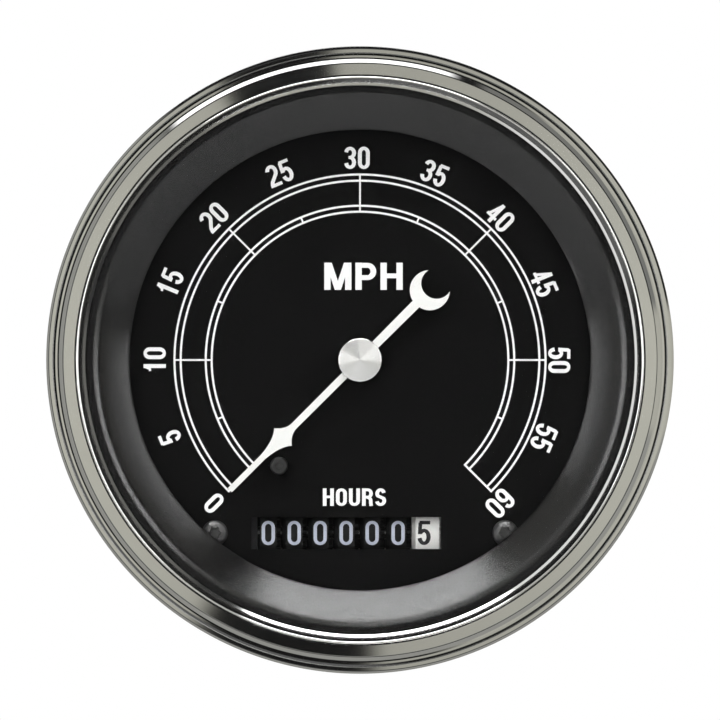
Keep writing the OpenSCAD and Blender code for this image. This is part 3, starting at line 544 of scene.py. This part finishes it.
def ribbon(path, pen, closed=False):
    """Quads of a flat stroke: pen[0] wide where it runs upright and pen[1] where it runs level."""
    path = [Vector(p) for p in path]
    count = len(path)
    edges = []
    for i, here in enumerate(path):
        ways = []
        if closed or i > 0:
            ways.append((here - path[i - 1]).normalized())
        if closed or i < count - 1:
            ways.append((path[(i + 1) % count] - here).normalized())
        way = sum(ways, Vector((0, 0))).normalized()
        reach = 0.5 / max(MITRE_LEAST, way.dot(ways[0]))
        offset = Vector((-way.y * pen[0], way.x * pen[1])) * reach
        edges.append((here + offset, here - offset))
    last = count if closed else count - 1
    pairs = [(edges[i], edges[(i + 1) % count]) for i in range(last)]
    return [[a[0], a[1], b[1], b[0]] for a, b in pairs]


def eased(path, step, closed=False):
    """The path with points added so that no stretch is longer than step."""
    ends = path[1:] + path[:1] if closed else path[1:]
    points = []
    for a, b in zip(path, ends):
        parts = max(1, math.ceil(math.dist(a, b) / step))
        for k in range(parts):
            points.append((a[0] + (b[0] - a[0]) * k / parts, a[1] + (b[1] - a[1]) * k / parts))
    return points if closed else points + [path[-1]]


def union(quads):
    """Triangles that cover all the quads once."""
    points = [corner for quad in quads for corner in quad]
    faces = [list(range(4 * i, 4 * i + 4)) for i in range(len(quads))]
    points, _, pieces, _, _, sources = delaunay_2d_cdt(points, [], faces, COVERED_FACES, MERGE_GAP)
    return points, [piece for piece, source in zip(pieces, sources) if source]


def slab(flat, thickness, place):
    """Thin solid over flat faces; place(x, y, height) puts a point on the surface that carries it."""
    points, faces = flat
    count = len(points)
    solid = [place(x, y, h) for h in (0, thickness) for x, y in points]
    tops = [[count + i for i in face] for face in faces]
    unders = [list(reversed(face)) for face in faces]
    edges = {(face[i - 1], face[i]) for face in faces for i in range(len(face))}
    walls = [[a, b, count + b, count + a] for a, b in edges if (b, a) not in edges]
    return solid, tops + unders + walls


# A stroke's pen is a share of the sign's pen; a pair with no height cuts a slanted stroke's ends level
Stroke = namedtuple("Stroke", "path pen closed", defaults=(1, False))
END = 0.24
TOP = 1 - END


def oval(top):
    """A ring as wide as the box, with upright sides up to the given level."""
    return Stroke(arc(0.5, top, 0.5, END, 0, 180) + arc(0.5, END, 0.5, END, 180, 360), closed=True)


def figure_strokes(low, high, left, right):
    """Figures on a unit box; strokes that meet an edge run on past it to low, high, left or right."""
    two_bowl = arc(0.5, TOP, 0.5, END, 172, 0) + [(1.0, 0.68), (0.9, 0.55), (0.14, 0.2), (0.02, 0.06)]
    five_bowl = [(0.06, 0.5)] + arc(0.5, 0.31, 0.5, 0.31, 125, -170, 14)
    six = [oval(0.36), Stroke([(0.0, 0.3)] + arc(0.5, TOP, 0.5, END, 180, 8))]
    return {
        "0": [oval(TOP)],
        "1": [Stroke([(0.62, low), (0.62, high)]), Stroke([(0.0, 0.74), (0.3, 0.76), (0.52, 0.97)], 0.72)],
        "2": [Stroke(two_bowl), Stroke([(left, 0), (right, 0)])],
        "3": [
            Stroke(arc(0.5, TOP, 0.5, END, 172, -80)),
            Stroke(arc(0.5, 0.26, 0.5, 0.26, 80, -172)),
            Stroke([(0.3, 0.52), (0.6, 0.52)], 0.9),
        ],
        "4": [
            Stroke([(0.72, low), (0.72, high)]),
            Stroke([(left, 0.24), (right, 0.24)], 0.9),
            Stroke([(0.72, high), (0.04, 0.24)], (0.8, 0.0)),
        ],
        "5": [
            Stroke([(right - 0.06, 1), (0.0, 1)]),
            Stroke([(0.1, 1), (0.02, 0.45)], (0.9, 0.0)),
            Stroke(five_bowl),
        ],
        "6": six,
        "7": [Stroke([(left, 1), (right, 1)]), Stroke([(0.95, 0.95), (0.36, low)], (1.0, 0.0))],
        "8": [
            Stroke(arc(0.5, 0.76, 0.44, 0.24, 0, 340, 17), closed=True),
            Stroke(arc(0.5, 0.27, 0.5, 0.27, 0, 340, 17), closed=True),
        ],
        "9": [stroke._replace(path=[(1 - u, 1 - v) for u, v in stroke.path]) for stroke in six],
    }


def letter_strokes(low, high):
    """Capitals of the two printed words, on a unit box like the figures'."""
    stem = Stroke([(0, low), (0, high)])
    posts = [stem, Stroke([(1, low), (1, high)])]
    p_bowl = [(0.0, 1)] + arc(0.62, 0.72, 0.38, 0.28, 90, -90, 12) + [(0.0, 0.44)]
    r_bowl = [(0.0, 1)] + arc(0.56, 0.75, 0.42, 0.25, 90, -90, 12) + [(0.0, 0.5)]
    r_leg = [(0.55, 0.48), (0.85, 0.4), (0.93, 0.3), (0.95, 0.1), (1.0, low)]
    s_curve = arc(0.5, 0.74, 0.46, 0.26, 12, 215, 14) + arc(0.5, 0.26, 0.5, 0.26, 35, -168, 14)
    return {
        "H": posts + [Stroke([(0, 0.52), (1, 0.52)], 0.9)],
        "M": posts + [Stroke([(u, high), (0.5, low)], (1.0, 0.0)) for u in (0.06, 0.94)],
        "O": [oval(TOP)],
        "P": [stem, Stroke(p_bowl, 0.92)],
        "R": [stem, Stroke(r_bowl, 0.95), Stroke(r_leg, 0.95)],
        "S": [Stroke(s_curve)],
        "U": [Stroke([(0, high)] + arc(0.5, END, 0.5, END, 180, 360) + [(1, high)])],
    }


def sign_quads(sign, at, size, pen, step):
    """Stroke quads of one sign, size wide and high, centred at a point."""
    wide, high = size[0] - pen[0], size[1] - pen[1]
    past_x, past_y = pen[0] / 2 / wide, pen[1] / 2 / high
    low_high = (-past_y, 1 + past_y)
    signs = {**figure_strokes(*low_high, -past_x, 1 + past_x), **letter_strokes(*low_high)}
    quads = []
    for path, share, closed in signs[sign]:
        laid = [(at[0] + (u - 0.5) * wide, at[1] + (v - 0.5) * high) for u, v in path]
        across, along = share if isinstance(share, tuple) else (share, share)
        quads.extend(ribbon(eased(laid, step, closed), (pen[0] * across, pen[1] * along), closed))
    return quads


# Sizes of a word's signs; widths has a default under the empty name
Lettering = namedtuple("Lettering", "height widths gap pen")
WORD_EASE = 0.6


def word_quads(word, at, lettering):
    """Stroke quads of a word centred at a point."""
    height, widths, gap, pen = lettering
    sizes = [widths.get(sign, widths[""]) for sign in word]
    x = at[0] - (sum(sizes) + gap * (len(word) - 1)) / 2
    quads = []
    for sign, width in zip(word, sizes):
        quads.extend(sign_quads(sign, (x + width / 2, at[1]), (width, height), pen, WORD_EASE))
        x += width + gap
    return quads


# Printed scale: two pairs of arcs over three quarters of a turn, with a line at each ten
INK_T = 0.03
ZERO_DEG = 225
SWEEP_DEG = 270
TOP_SPEED = 60
NUMBER_STEP = 5
LINE_STEP = 10
ARC_RADII = (28.14, 27.2, 23.4, 22.5)
ARC_STEPS = 180
ARC_W = 0.31
LINE_W = 0.27
NUMBER_R = 30.68
NUMBER_SHIFT = (-0.46, -0.02)
NUMBER_SIZES = Lettering(height=3.38, widths={"": 1.8}, gap=0.29, pen=(0.59, 0.49))
UNIT_AT = (0.53, 12.7)
UNIT_SIZES = Lettering(height=4.12, widths={"": 3.38, "M": 4.12, "P": 3.2}, gap=0.6, pen=(0.96, 0.8))
HOURS_AT = (-0.84, -20.8)
HOURS_SIZES = Lettering(height=2.66, widths={"": 1.67}, gap=0.31, pen=(0.56, 0.44))
marked_speeds = range(0, TOP_SPEED + 1, NUMBER_STEP)


def speed_deg(speed):
    return ZERO_DEG - SWEEP_DEG * speed / TOP_SPEED


def on_dial(x, y, height):
    return x, y, DIAL_FACE + height


def scale_quads():
    """The arcs, a long line at each ten and at both ends, and a short one between."""
    quads = []
    for r in ARC_RADII:
        path = arc(0, 0, r, r, ZERO_DEG, ZERO_DEG - SWEEP_DEG, ARC_STEPS)
        quads.extend(ribbon(path, (ARC_W, ARC_W)))
    for speed in marked_speeds:
        at_end = speed in (0, TOP_SPEED)
        outer = ARC_RADII[0] if speed % LINE_STEP == 0 else ARC_RADII[2]
        over = ARC_W / 2 if at_end else 0
        width = ARC_W if at_end else LINE_W
        ends = [polar(outer + over, speed_deg(speed)), polar(ARC_RADII[3] - over, speed_deg(speed))]
        quads.extend(ribbon(ends, (width, width)))
    return quads


def number_quads():
    """The speeds round the scale, each upright on its own spoke."""
    quads = []
    for speed in marked_speeds:
        deg = speed_deg(speed)
        x, y = Vector(polar(NUMBER_R, deg)) + Vector(NUMBER_SHIFT)
        turn = math.radians(deg - 90)
        c, s = math.cos(turn), math.sin(turn)
        for quad in word_quads(str(speed), (0, 0), NUMBER_SIZES):
            quads.append([Vector((x + u * c - v * s, y + u * s + v * c)) for u, v in quad])
    return quads


prints = {
    "scale_print": scale_quads(),
    "number_print": number_quads(),
    "unit_print": word_quads("MPH", UNIT_AT, UNIT_SIZES),
    "hours_print": word_quads("HOURS", HOURS_AT, HOURS_SIZES),
}
for print_name, quads in prints.items():
    add_piece(print_name, slab(union(quads), INK_T, on_dial), dial_ink)

# Figures round the number drums
FIGURES = 10
FIGURE_STEP = 360 / FIGURES
FIGURE_H = 3.7
FIGURE_W = 2.02
FIGURE_PEN = (0.52, 0.46)
FIGURE_EASE = 0.4
TENTHS_PEN = (0.64, 0.54)
TENTHS_SHOWN = 5
DRUM_COUNT = 7
DRUM_PITCH = 3.94
DRUM_MIDDLE_1 = 9.72
drum_axis = hinges["drum_1_turn"]
drum_r = -drum_axis.y - back("hour_drum_1")


def drum_figure(figure, pen, middle, rest_deg):
    """One figure wrapped round its drum, rest_deg above the window."""
    def on_drum(x, y, height):
        out, up = polar(drum_r + height, rest_deg + math.degrees(y / drum_r))
        return middle + x, drum_axis.z + up, -drum_axis.y + out

    quads = sign_quads(str(figure), (0, 0), (FIGURE_W, FIGURE_H), pen, FIGURE_EASE)
    return slab(union(quads), INK_T, on_drum)


def drum_figures(drum):
    """All ten figures of one drum; the next one up lies below the one that shows."""
    shown = TENTHS_SHOWN if drum == 1 else 0
    pen = TENTHS_PEN if drum == 1 else FIGURE_PEN
    middle = DRUM_MIDDLE_1 - (drum - 1) * DRUM_PITCH
    return joined([drum_figure(f, pen, middle, (shown - f) * FIGURE_STEP) for f in range(FIGURES)])


for drum in range(1, DRUM_COUNT + 1):
    ink = dark_ink if drum == 1 else pale_ink
    add_piece(f"drum_{drum}_figures", drum_figures(drum), ink, f"drum_{drum}")

# Edges eased on moulded nodes that are kept as they are
EASED_EDGES = {"terminal_block": 0.5, "lamp_sockets": 0.3}
EASE_SEGMENTS = 2
FLAT_DEG = 1
SHARP_DEG = 40


def soften(node, width):
    """Welds a node, joins its flat faces and bevels its sharp edges."""
    modifiers = cad[node].modifiers
    weld = modifiers.new("weld", "WELD")
    weld.merge_threshold = WELD
    flat = modifiers.new("whole_faces", "DECIMATE")
    flat.decimate_type = "DISSOLVE"
    flat.angle_limit = math.radians(FLAT_DEG)
    bevel = modifiers.new("eased_edges", "BEVEL")
    bevel.width = width * MM
    bevel.segments = EASE_SEGMENTS
    bevel.limit_method = "ANGLE"
    bevel.angle_limit = math.radians(SHARP_DEG)
    modifiers.new("level_faces", "WEIGHTED_NORMAL")


for node_name, width in EASED_EDGES.items():
    soften(node_name, width)

# Hub cap, dial screws and stop peg
CAP_STEPS = 128
CAP_CREASE = 40
SCREW_STEPS = 96
PEG_STEPS = 64
SHANK_R = 1.0
HEAD_EDGE = 0.3
HEAD_OVER = 0.2
LOBES = 6
LOBE_SHARE = 0.2
RECESS_R = 0.78
RECESS_DEPTH = 0.9


def cap_section():
    """Shallow cap with an eased rim; its spun face rises a little to the middle."""
    low = back("pointer_cap")
    rim = 0.14
    under_steps, rim_steps = 4, 6
    lean = 6
    face_shares = (0.95, 0.5, 0.05, 0)
    fall = math.tan(math.radians(lean))
    face_r = right_edge("pointer_cap") - rim
    rim_level = CAP_TOP - face_r * fall - rim
    face = [(share * face_r, CAP_TOP - share * face_r * fall) for share in face_shares]
    return (
        [(0, low)]
        + arc(face_r, low + rim, rim, rim, -90, 0, under_steps)
        + arc(face_r, rim_level, rim, rim, 0, 90 - lean, rim_steps)
        + face
    )


def screw_dome(at):
    """Domed head with a lobed recess, on a plain shank through the dial."""
    crown, end = front("dial_screws"), back("dial_screws")
    head_r = radius("dial_screws") + HEAD_OVER
    height = crown - DIAL_FACE - HEAD_EDGE
    recess_floor = crown - RECESS_DEPTH
    lobe = LOBE_SHARE * RECESS_R
    wall_lean, mouth = 0.05, 0.06

    def section(deg):
        recess = RECESS_R + lobe * math.cos(math.radians(LOBES * deg))
        start = math.degrees(math.acos((recess + mouth) / head_r))
        dome = arc(0, DIAL_FACE + HEAD_EDGE, head_r, height, start, 0)
        return (
            [(0, recess_floor), (recess - wall_lean, recess_floor), (recess, dome[0][1] - mouth)]
            + dome
            + [(head_r, DIAL_FACE), (SHANK_R, DIAL_FACE), (SHANK_R, end), (0, end)]
        )

    return turned(section, at, SCREW_STEPS)


def peg_section(peg_r):
    """Sleeved peg with a rounded end and a dimple."""
    top, end = front("stop_peg"), back("stop_peg")
    edge = 0.4
    dimple_r = 0.45 * peg_r
    dimple_depth = 0.25
    dimple_wide, dimple_high = 0.1, 0.12
    dimple_steps, edge_steps = 4, 6
    return (
        [(0, top - dimple_depth)]
        + arc(dimple_r, top - dimple_high, dimple_wide, dimple_high, 180, 90, dimple_steps)
        + arc(peg_r - edge, top - edge, edge, edge, 90, 0, edge_steps)
        + [(peg_r, DIAL_FACE), (SHANK_R, DIAL_FACE), (SHANK_R, end), (0, end)]
    )


cap = lathe(cap_section(), steps=CAP_STEPS)
dress("pointer_cap_spun", cap, "pointer_cap", "pointer", crease=CAP_CREASE)

screw_x = right_edge("dial_screws") - radius("dial_screws")
screw_y = centre("dial_screws")[1]
dress("dial_screw_domes", joined([screw_dome((x, screw_y)) for x in (-screw_x, screw_x)]), "dial_screws")

peg_at = centre("stop_peg")
peg_r = right_edge("stop_peg") - peg_at[0]
dress("stop_peg_sleeve", lathe(peg_section(peg_r), peg_at, PEG_STEPS), "stop_peg")

# Studs, nuts and washers behind the case
CASE_WALL = 0.8
NUT_T = 3.2
WASHER_T = 1.0
BASE_PROUD = 0.6
HEAD_T = 1.2
NUT_SLACK = 0.1
THREAD_DEPTH = 0.55
THREAD_SLICES = 8
THREAD_STEPS = 48
FLANK_SLOPE = 1.3
CREST_FLAT = 0.15
HEX_STEPS = 72
HEX_FACE = 0.95
Stud = namedtuple("Stud", "free_r base_r head_r free_end base_end top pitch")


def base_end(seat):
    """Level where a stud's plain base ends, a little past the nut on that seat."""
    return seat - WASHER_T - NUT_T - BASE_PROUD


def threaded_stud(at, stud):
    """Stud with a helical thread on its free end, a plain base and a head inside the case."""
    free_r, base_r, head_r, free_end, step, top, pitch = stud
    depth = THREAD_DEPTH * pitch
    floor = CASE_BACK + CASE_WALL
    head_top = floor + HEAD_T
    base_top = max(top, head_top)
    slices = round(THREAD_SLICES * (step - free_end) / pitch)
    levels = [free_end + (step - free_end) * i / slices for i in range(slices + 1)]

    def section(deg):
        loop = [(0, free_end)]
        for z in levels:
            phase = (z / pitch - deg / 360) % 1
            cut = min(1.0, max(0.0, FLANK_SLOPE * abs(2 * phase - 1) - CREST_FLAT))
            lead = max(0.0, depth - (z - free_end))
            loop.append((free_r - max(depth * cut, lead), z))
        return loop + [
            (base_r, step), (base_r, floor), (head_r, floor), (head_r, head_top),
            (base_r, head_top), (base_r, base_top), (0, base_top),
        ]

    return turned(section, at, THREAD_STEPS)


def hex_nut(at, across, bore_r, low, high):
    """Hexagon nut with its corners turned off at 30 degrees on both faces."""
    face_r = HEX_FACE * across / 2
    edge = 0.2

    def section(deg):
        r = across / 2 / math.cos(math.radians(deg % 60 - 30))
        drop = (r - face_r) / math.sqrt(3)
        return [
            (bore_r + edge, low), (face_r, low), (r, low + drop), (r, high - drop), (face_r, high),
            (bore_r + edge, high), (bore_r, high - edge), (bore_r, low + edge),
        ]

    return turned(section, at, HEX_STEPS)


def washer(at, outer_r, bore_r, low, high):
    edge = 0.12
    section = [
        (bore_r, low), (outer_r - edge, low), (outer_r, low + edge),
        (outer_r, high - edge), (outer_r - edge, high), (bore_r, high),
    ]
    return lathe(section, at, HEX_STEPS)


def nuts(places, across, washer_over, base_r, seat):
    """A nut and a washer at each place, tightened against the seat."""
    bore_r = base_r + NUT_SLACK
    washer_low = seat - WASHER_T
    return joined(
        [washer(at, across / 2 + washer_over, bore_r, washer_low, seat) for at in places]
        + [hex_nut(at, across, bore_r, washer_low - NUT_T, washer_low) for at in places]
    )


STUD_NUT_AF = 10.0
STUD_WASHER_OVER = 1
mounting_stud = Stud(
    free_r=mounts["clamp_studs"]["stud_r_mm"],
    base_r=3.0,
    head_r=4.8,
    free_end=back("mounting_studs"),
    base_end=base_end(CASE_BACK),
    top=CASE_BACK,
    pitch=0.8,
)
stud_x = mounts["clamp_studs"]["spacing_x_mm"] / 2
stud_places = [(-stud_x, 0), (stud_x, 0)]
stud_threads = joined([threaded_stud(at, mounting_stud) for at in stud_places])
dress("mounting_stud_threads", stud_threads, "mounting_studs")
stud_nuts = nuts(stud_places, STUD_NUT_AF, STUD_WASHER_OVER, mounting_stud.base_r, CASE_BACK)
dress("mounting_nut_pair", stud_nuts, "mounting_nuts")

TERMINAL_NUT_AF = 7.8
TERMINAL_WASHER_OVER = 0.9
terminal_seat = back("terminal_block")
terminal_stud = Stud(
    free_r=mounts["outer_terminals"]["stud_r_mm"],
    base_r=2.5,
    head_r=4.0,
    free_end=back("terminal_studs"),
    base_end=base_end(terminal_seat),
    top=front("terminal_studs"),
    pitch=0.7,
)
terminal_y = centre("terminal_studs")[1]
terminal_places = [
    (sign * mounts[name]["spacing_x_mm"] / 2, terminal_y)
    for name in ("outer_terminals", "inner_terminals")
    for sign in (-1, 1)
]
terminal_threads = joined([threaded_stud(at, terminal_stud) for at in terminal_places])
dress("terminal_stud_threads", terminal_threads, "terminal_studs")
terminal_nuts = nuts(
    terminal_places, TERMINAL_NUT_AF, TERMINAL_WASHER_OVER, terminal_stud.base_r, terminal_seat
)
dress("terminal_nut_row", terminal_nuts, "terminal_nuts")

CAMERA_FAR = 2.5
FRAME_W = 0.1091
SENSOR_W = 36.0


def front_camera():
    """Looks square on at the dial, with a frame as wide as the photograph's."""
    view = bpy.data.cameras.new("camera")
    view.sensor_width = SENSOR_W
    view.lens = SENSOR_W * CAMERA_FAR / FRAME_W
    camera = bpy.data.objects.new("camera", view)
    camera.location = (0, -CAMERA_FAR, 0)
    camera.rotation_euler = (math.radians(90), 0, 0)
    bpy.context.scene.collection.objects.link(camera)
    bpy.context.scene.camera = camera


# Room that shiny surfaces mirror: screens laid over one another, the later ones on top.
# Angles are in degrees: reach is off the way the dial faces, and a sector is (from, to, soft)
# round from the reader's right.
AMBIENT = 0.62
CROWN_GREY = (0.47, 0.465, 0.41)
GREY_UPRIGHT = 0.86
GREY_LEVEL = 1.12
DARK = (0.01, 0.01, 0.01)
WALL_REACH = (8.0, 75.0)
WALL_SOFT = 3.0
SIDE_SECTORS = ((-4.0, 46.0, 10.0), (152.0, 190.0, 10.0))
Screen = namedtuple("Screen", "shade reach soft sectors", defaults=((),))


def neutral(level):
    return level, level, level


screens = {
    "gaps_ahead": Screen(DARK, (-5.0, 28.0), 3.0, ((95.0, 117.0, 4.0), (-122.0, -87.0, 6.0))),
    "ring_ahead": Screen((0.52, 0.52, 0.51), (5.0, 15.0), 3.0),
    "dim_ahead_above": Screen(neutral(0.25), (5.0, 15.0), 3.0, ((88.0, 142.0, 20.0),)),
    "sides_ahead": Screen(neutral(1.2), (5.0, 15.0), 3.0, ((-5.0, 85.0, 40.0), (145.0, 200.0, 30.0))),
    "ring_near": Screen((0.85, 0.84, 0.8), (28.5, 39.0), 2.0),
    "near_above": Screen(neutral(3.0), (28.5, 38.0), 2.0, ((85.0, 115.0, 8.0),)),
    "near_sides": Screen(neutral(5.5), (28.5, 38.0), 2.0, SIDE_SECTORS),
    "dark_right": Screen(neutral(0.03), (39.0, 48.0), 2.0, ((-60.0, 60.0, 20.0),)),
    "pale_left": Screen(neutral(0.95), (39.0, 48.0), 2.0, ((120.0, 240.0, 20.0),)),
    "ring_wide": Screen((0.55, 0.54, 0.5), (48.0, 76.0), 4.0),
    "slits": Screen(neutral(0.04), (44.0, 76.0), 4.0, ((52.0, 68.0, 8.0), (334.0, 352.0, 8.0))),
    "wide_sides": Screen(neutral(1.4), (56.0, 76.0), 6.0, SIDE_SECTORS),
    "wide_sides_bright": Screen(neutral(3.0), (65.0, 76.0), 6.0, SIDE_SECTORS),
    "low_left": Screen(neutral(0.12), (86.5, 91.0), 1.0, ((195.0, 275.0, 12.0),)),
    "upper_right": Screen((0.2, 0.2, 0.19), (92.0, 107.0), 2.0, ((8.0, 66.0, 4.0),)),
    "left_and_below": Screen((0.32, 0.32, 0.3), (92.0, 125.0), 2.0, ((130.0, 350.0, 12.0),)),
    "right": Screen(CROWN_GREY, (92.0, 125.0), 2.0, ((-14.0, 10.0, 4.0),)),
    "above": Screen(neutral(1.8), (96.0, 107.0), 2.0, ((72.0, 128.0, 4.0),)),
    "overhead": Screen(neutral(6.0), (40.0, 79.5), 2.0, ((66.0, 122.0, 4.0),)),
    "right_edge": Screen(CROWN_GREY, (81.5, 86.0), 1.0, ((-72.0, 54.0, 12.0),)),
    "gap_behind": Screen(neutral(0.05), (125.0, 155.0), 10.0),
    "right_behind": Screen(CROWN_GREY, (125.0, 148.0), 6.0, ((-20.0, 54.0, 12.0),)),
    "wall_behind": Screen(CROWN_GREY, (155.0, 190.0), 20.0),
}


class Room(Nodes):
    """Adds the nodes of the mirrored room to the world's tree."""

    def __init__(self, tree):
        super().__init__(tree)
        to_degrees = 180 / math.pi
        axes = self.add("SeparateXYZ", None, {"Vector": self.add("TexCoord").outputs["Generated"]}).outputs
        ahead = self.math("ARCCOSINE", self.math("MULTIPLY", axes["Y"], -1.0))
        self.off_axis = self.math("MULTIPLY", ahead, to_degrees)
        self.around = self.math("MULTIPLY", self.math("ARCTAN2", axes["Z"], axes["X"]), to_degrees)
        self.turn = self.math("FLOORED_MODULO", self.around, 360.0)

    def between(self, value, low, high, soft):
        """One from low to high, falling to nothing over soft at each end."""
        rise = self.spread(value, 0.0, 1.0, low - soft / 2, low + soft / 2, "SMOOTHSTEP")
        fall = self.spread(value, 1.0, 0.0, high - soft / 2, high + soft / 2, "SMOOTHSTEP")
        return self.math("MULTIPLY", rise, fall)

    def sector(self, low, high, soft):
        """One within a sector; one that passes 180 is counted round the full turn."""
        return self.between(self.turn if high > 180 else self.around, low, high, soft)

    def mask(self, screen):
        """Where a screen stands in the room."""
        reach = self.between(self.off_axis, *screen.reach, screen.soft)
        sectors = [self.sector(*sector) for sector in screen.sectors]
        if not sectors:
            return reach
        covered = self.math("MAXIMUM", *sectors) if len(sectors) > 1 else sectors[0]
        return self.math("MULTIPLY", covered, reach)

    def wall_ahead(self):
        """Grey ahead of the dial, paler level with it than above and below."""
        doubled = math.radians(2)
        level = self.math("COSINE", self.math("MULTIPLY", self.around, doubled))
        share = self.spread(level, 0.0, 1.0, -1.0, 1.0)
        grey = self.blend(share, tint(CROWN_GREY, GREY_UPRIGHT), tint(CROWN_GREY, GREY_LEVEL))
        reach = self.between(self.off_axis, *WALL_REACH, WALL_SOFT)
        return self.blend(reach, DARK + (1.0,), grey)

    def colour(self):
        room = self.wall_ahead()
        for screen in screens.values():
            room = self.blend(self.mask(screen), room, screen.shade + (1.0,))
        return room


def studio_world():
    """White ground for the camera, soft light, and the room for shiny surfaces."""
    world = bpy.data.worlds.new("studio")
    bpy.context.scene.world = world
    world.use_nodes = True
    room = Room(world.node_tree)
    background = world.node_tree.nodes["Background"]
    rays = room.add("LightPath").outputs
    plain = room.math("MAXIMUM", rays["Is Camera Ray"], rays["Is Transmission Ray"])
    ground = room.blend(plain, neutral(AMBIENT) + (1.0,), neutral(1.0) + (1.0,))
    room.feed(background.inputs["Color"], room.blend(rays["Is Glossy Ray"], ground, room.colour()))
    background.inputs["Strength"].default_value = 1.0


def softbox(name, place, size, radiance, aim=(0, 0, 0), hidden_from=()):
    """A rectangular lamp that faces its aim, not seen by the kinds of ray it is hidden from."""
    light = bpy.data.lights.new(name, "AREA")
    light.shape = "RECTANGLE"
    light.size, light.size_y = size
    light.energy = radiance * math.pi * size[0] * size[1]
    lamp = bpy.data.objects.new(name, light)
    lamp.location = place
    lamp.rotation_euler = (Vector(aim) - Vector(place)).to_track_quat("-Z", "Y").to_euler()
    for ray in hidden_from:
        setattr(lamp, "visible_" + ray, False)
    bpy.context.scene.collection.objects.link(lamp)


FLOOR_LEVEL = -0.3
FLOOR_HALF = 1.5
FLOOR_PALE = 0.78


def studio_floor():
    """A plain pale floor under the gauge."""
    mesh = bpy.data.meshes.new("floor")
    ways = ((-1, -1), (1, -1), (1, 1), (-1, 1))
    corners = [(x * FLOOR_HALF, y * FLOOR_HALF, FLOOR_LEVEL) for x, y in ways]
    mesh.from_pydata(corners, [], [[0, 1, 2, 3]])
    paint = finish("floor_pale", neutral(FLOOR_PALE), rough=0.7, vary=0.02, grain=40.0, relief=0.02)
    mesh.materials.append(paint)
    floor = bpy.data.objects.new("floor", mesh)
    floor.visible_glossy = False
    bpy.context.scene.collection.objects.link(floor)


front_camera()
studio_world()
softbox("overhead_softbox", place=(-0.06, -0.38, 0.7), size=(0.74, 0.64), radiance=3.0,
        aim=(-0.06, -0.38, 0), hidden_from=("glossy",))
softbox("front_left_softbox", place=(-0.24, -1.16, 0.22), size=(0.16, 0.16), radiance=24.0,
        hidden_from=("glossy", "transmission"))
softbox("low_left_strip", place=(-0.64, -0.2, -0.285), size=(0.07, 0.07), radiance=6.0)
softbox("rear_softbox", place=(0.35, 0.9, 0.6), size=(0.5, 0.5), radiance=4.0, hidden_from=("glossy",))

studio_floor()

bpy.context.scene.view_settings.view_transform = "Standard"
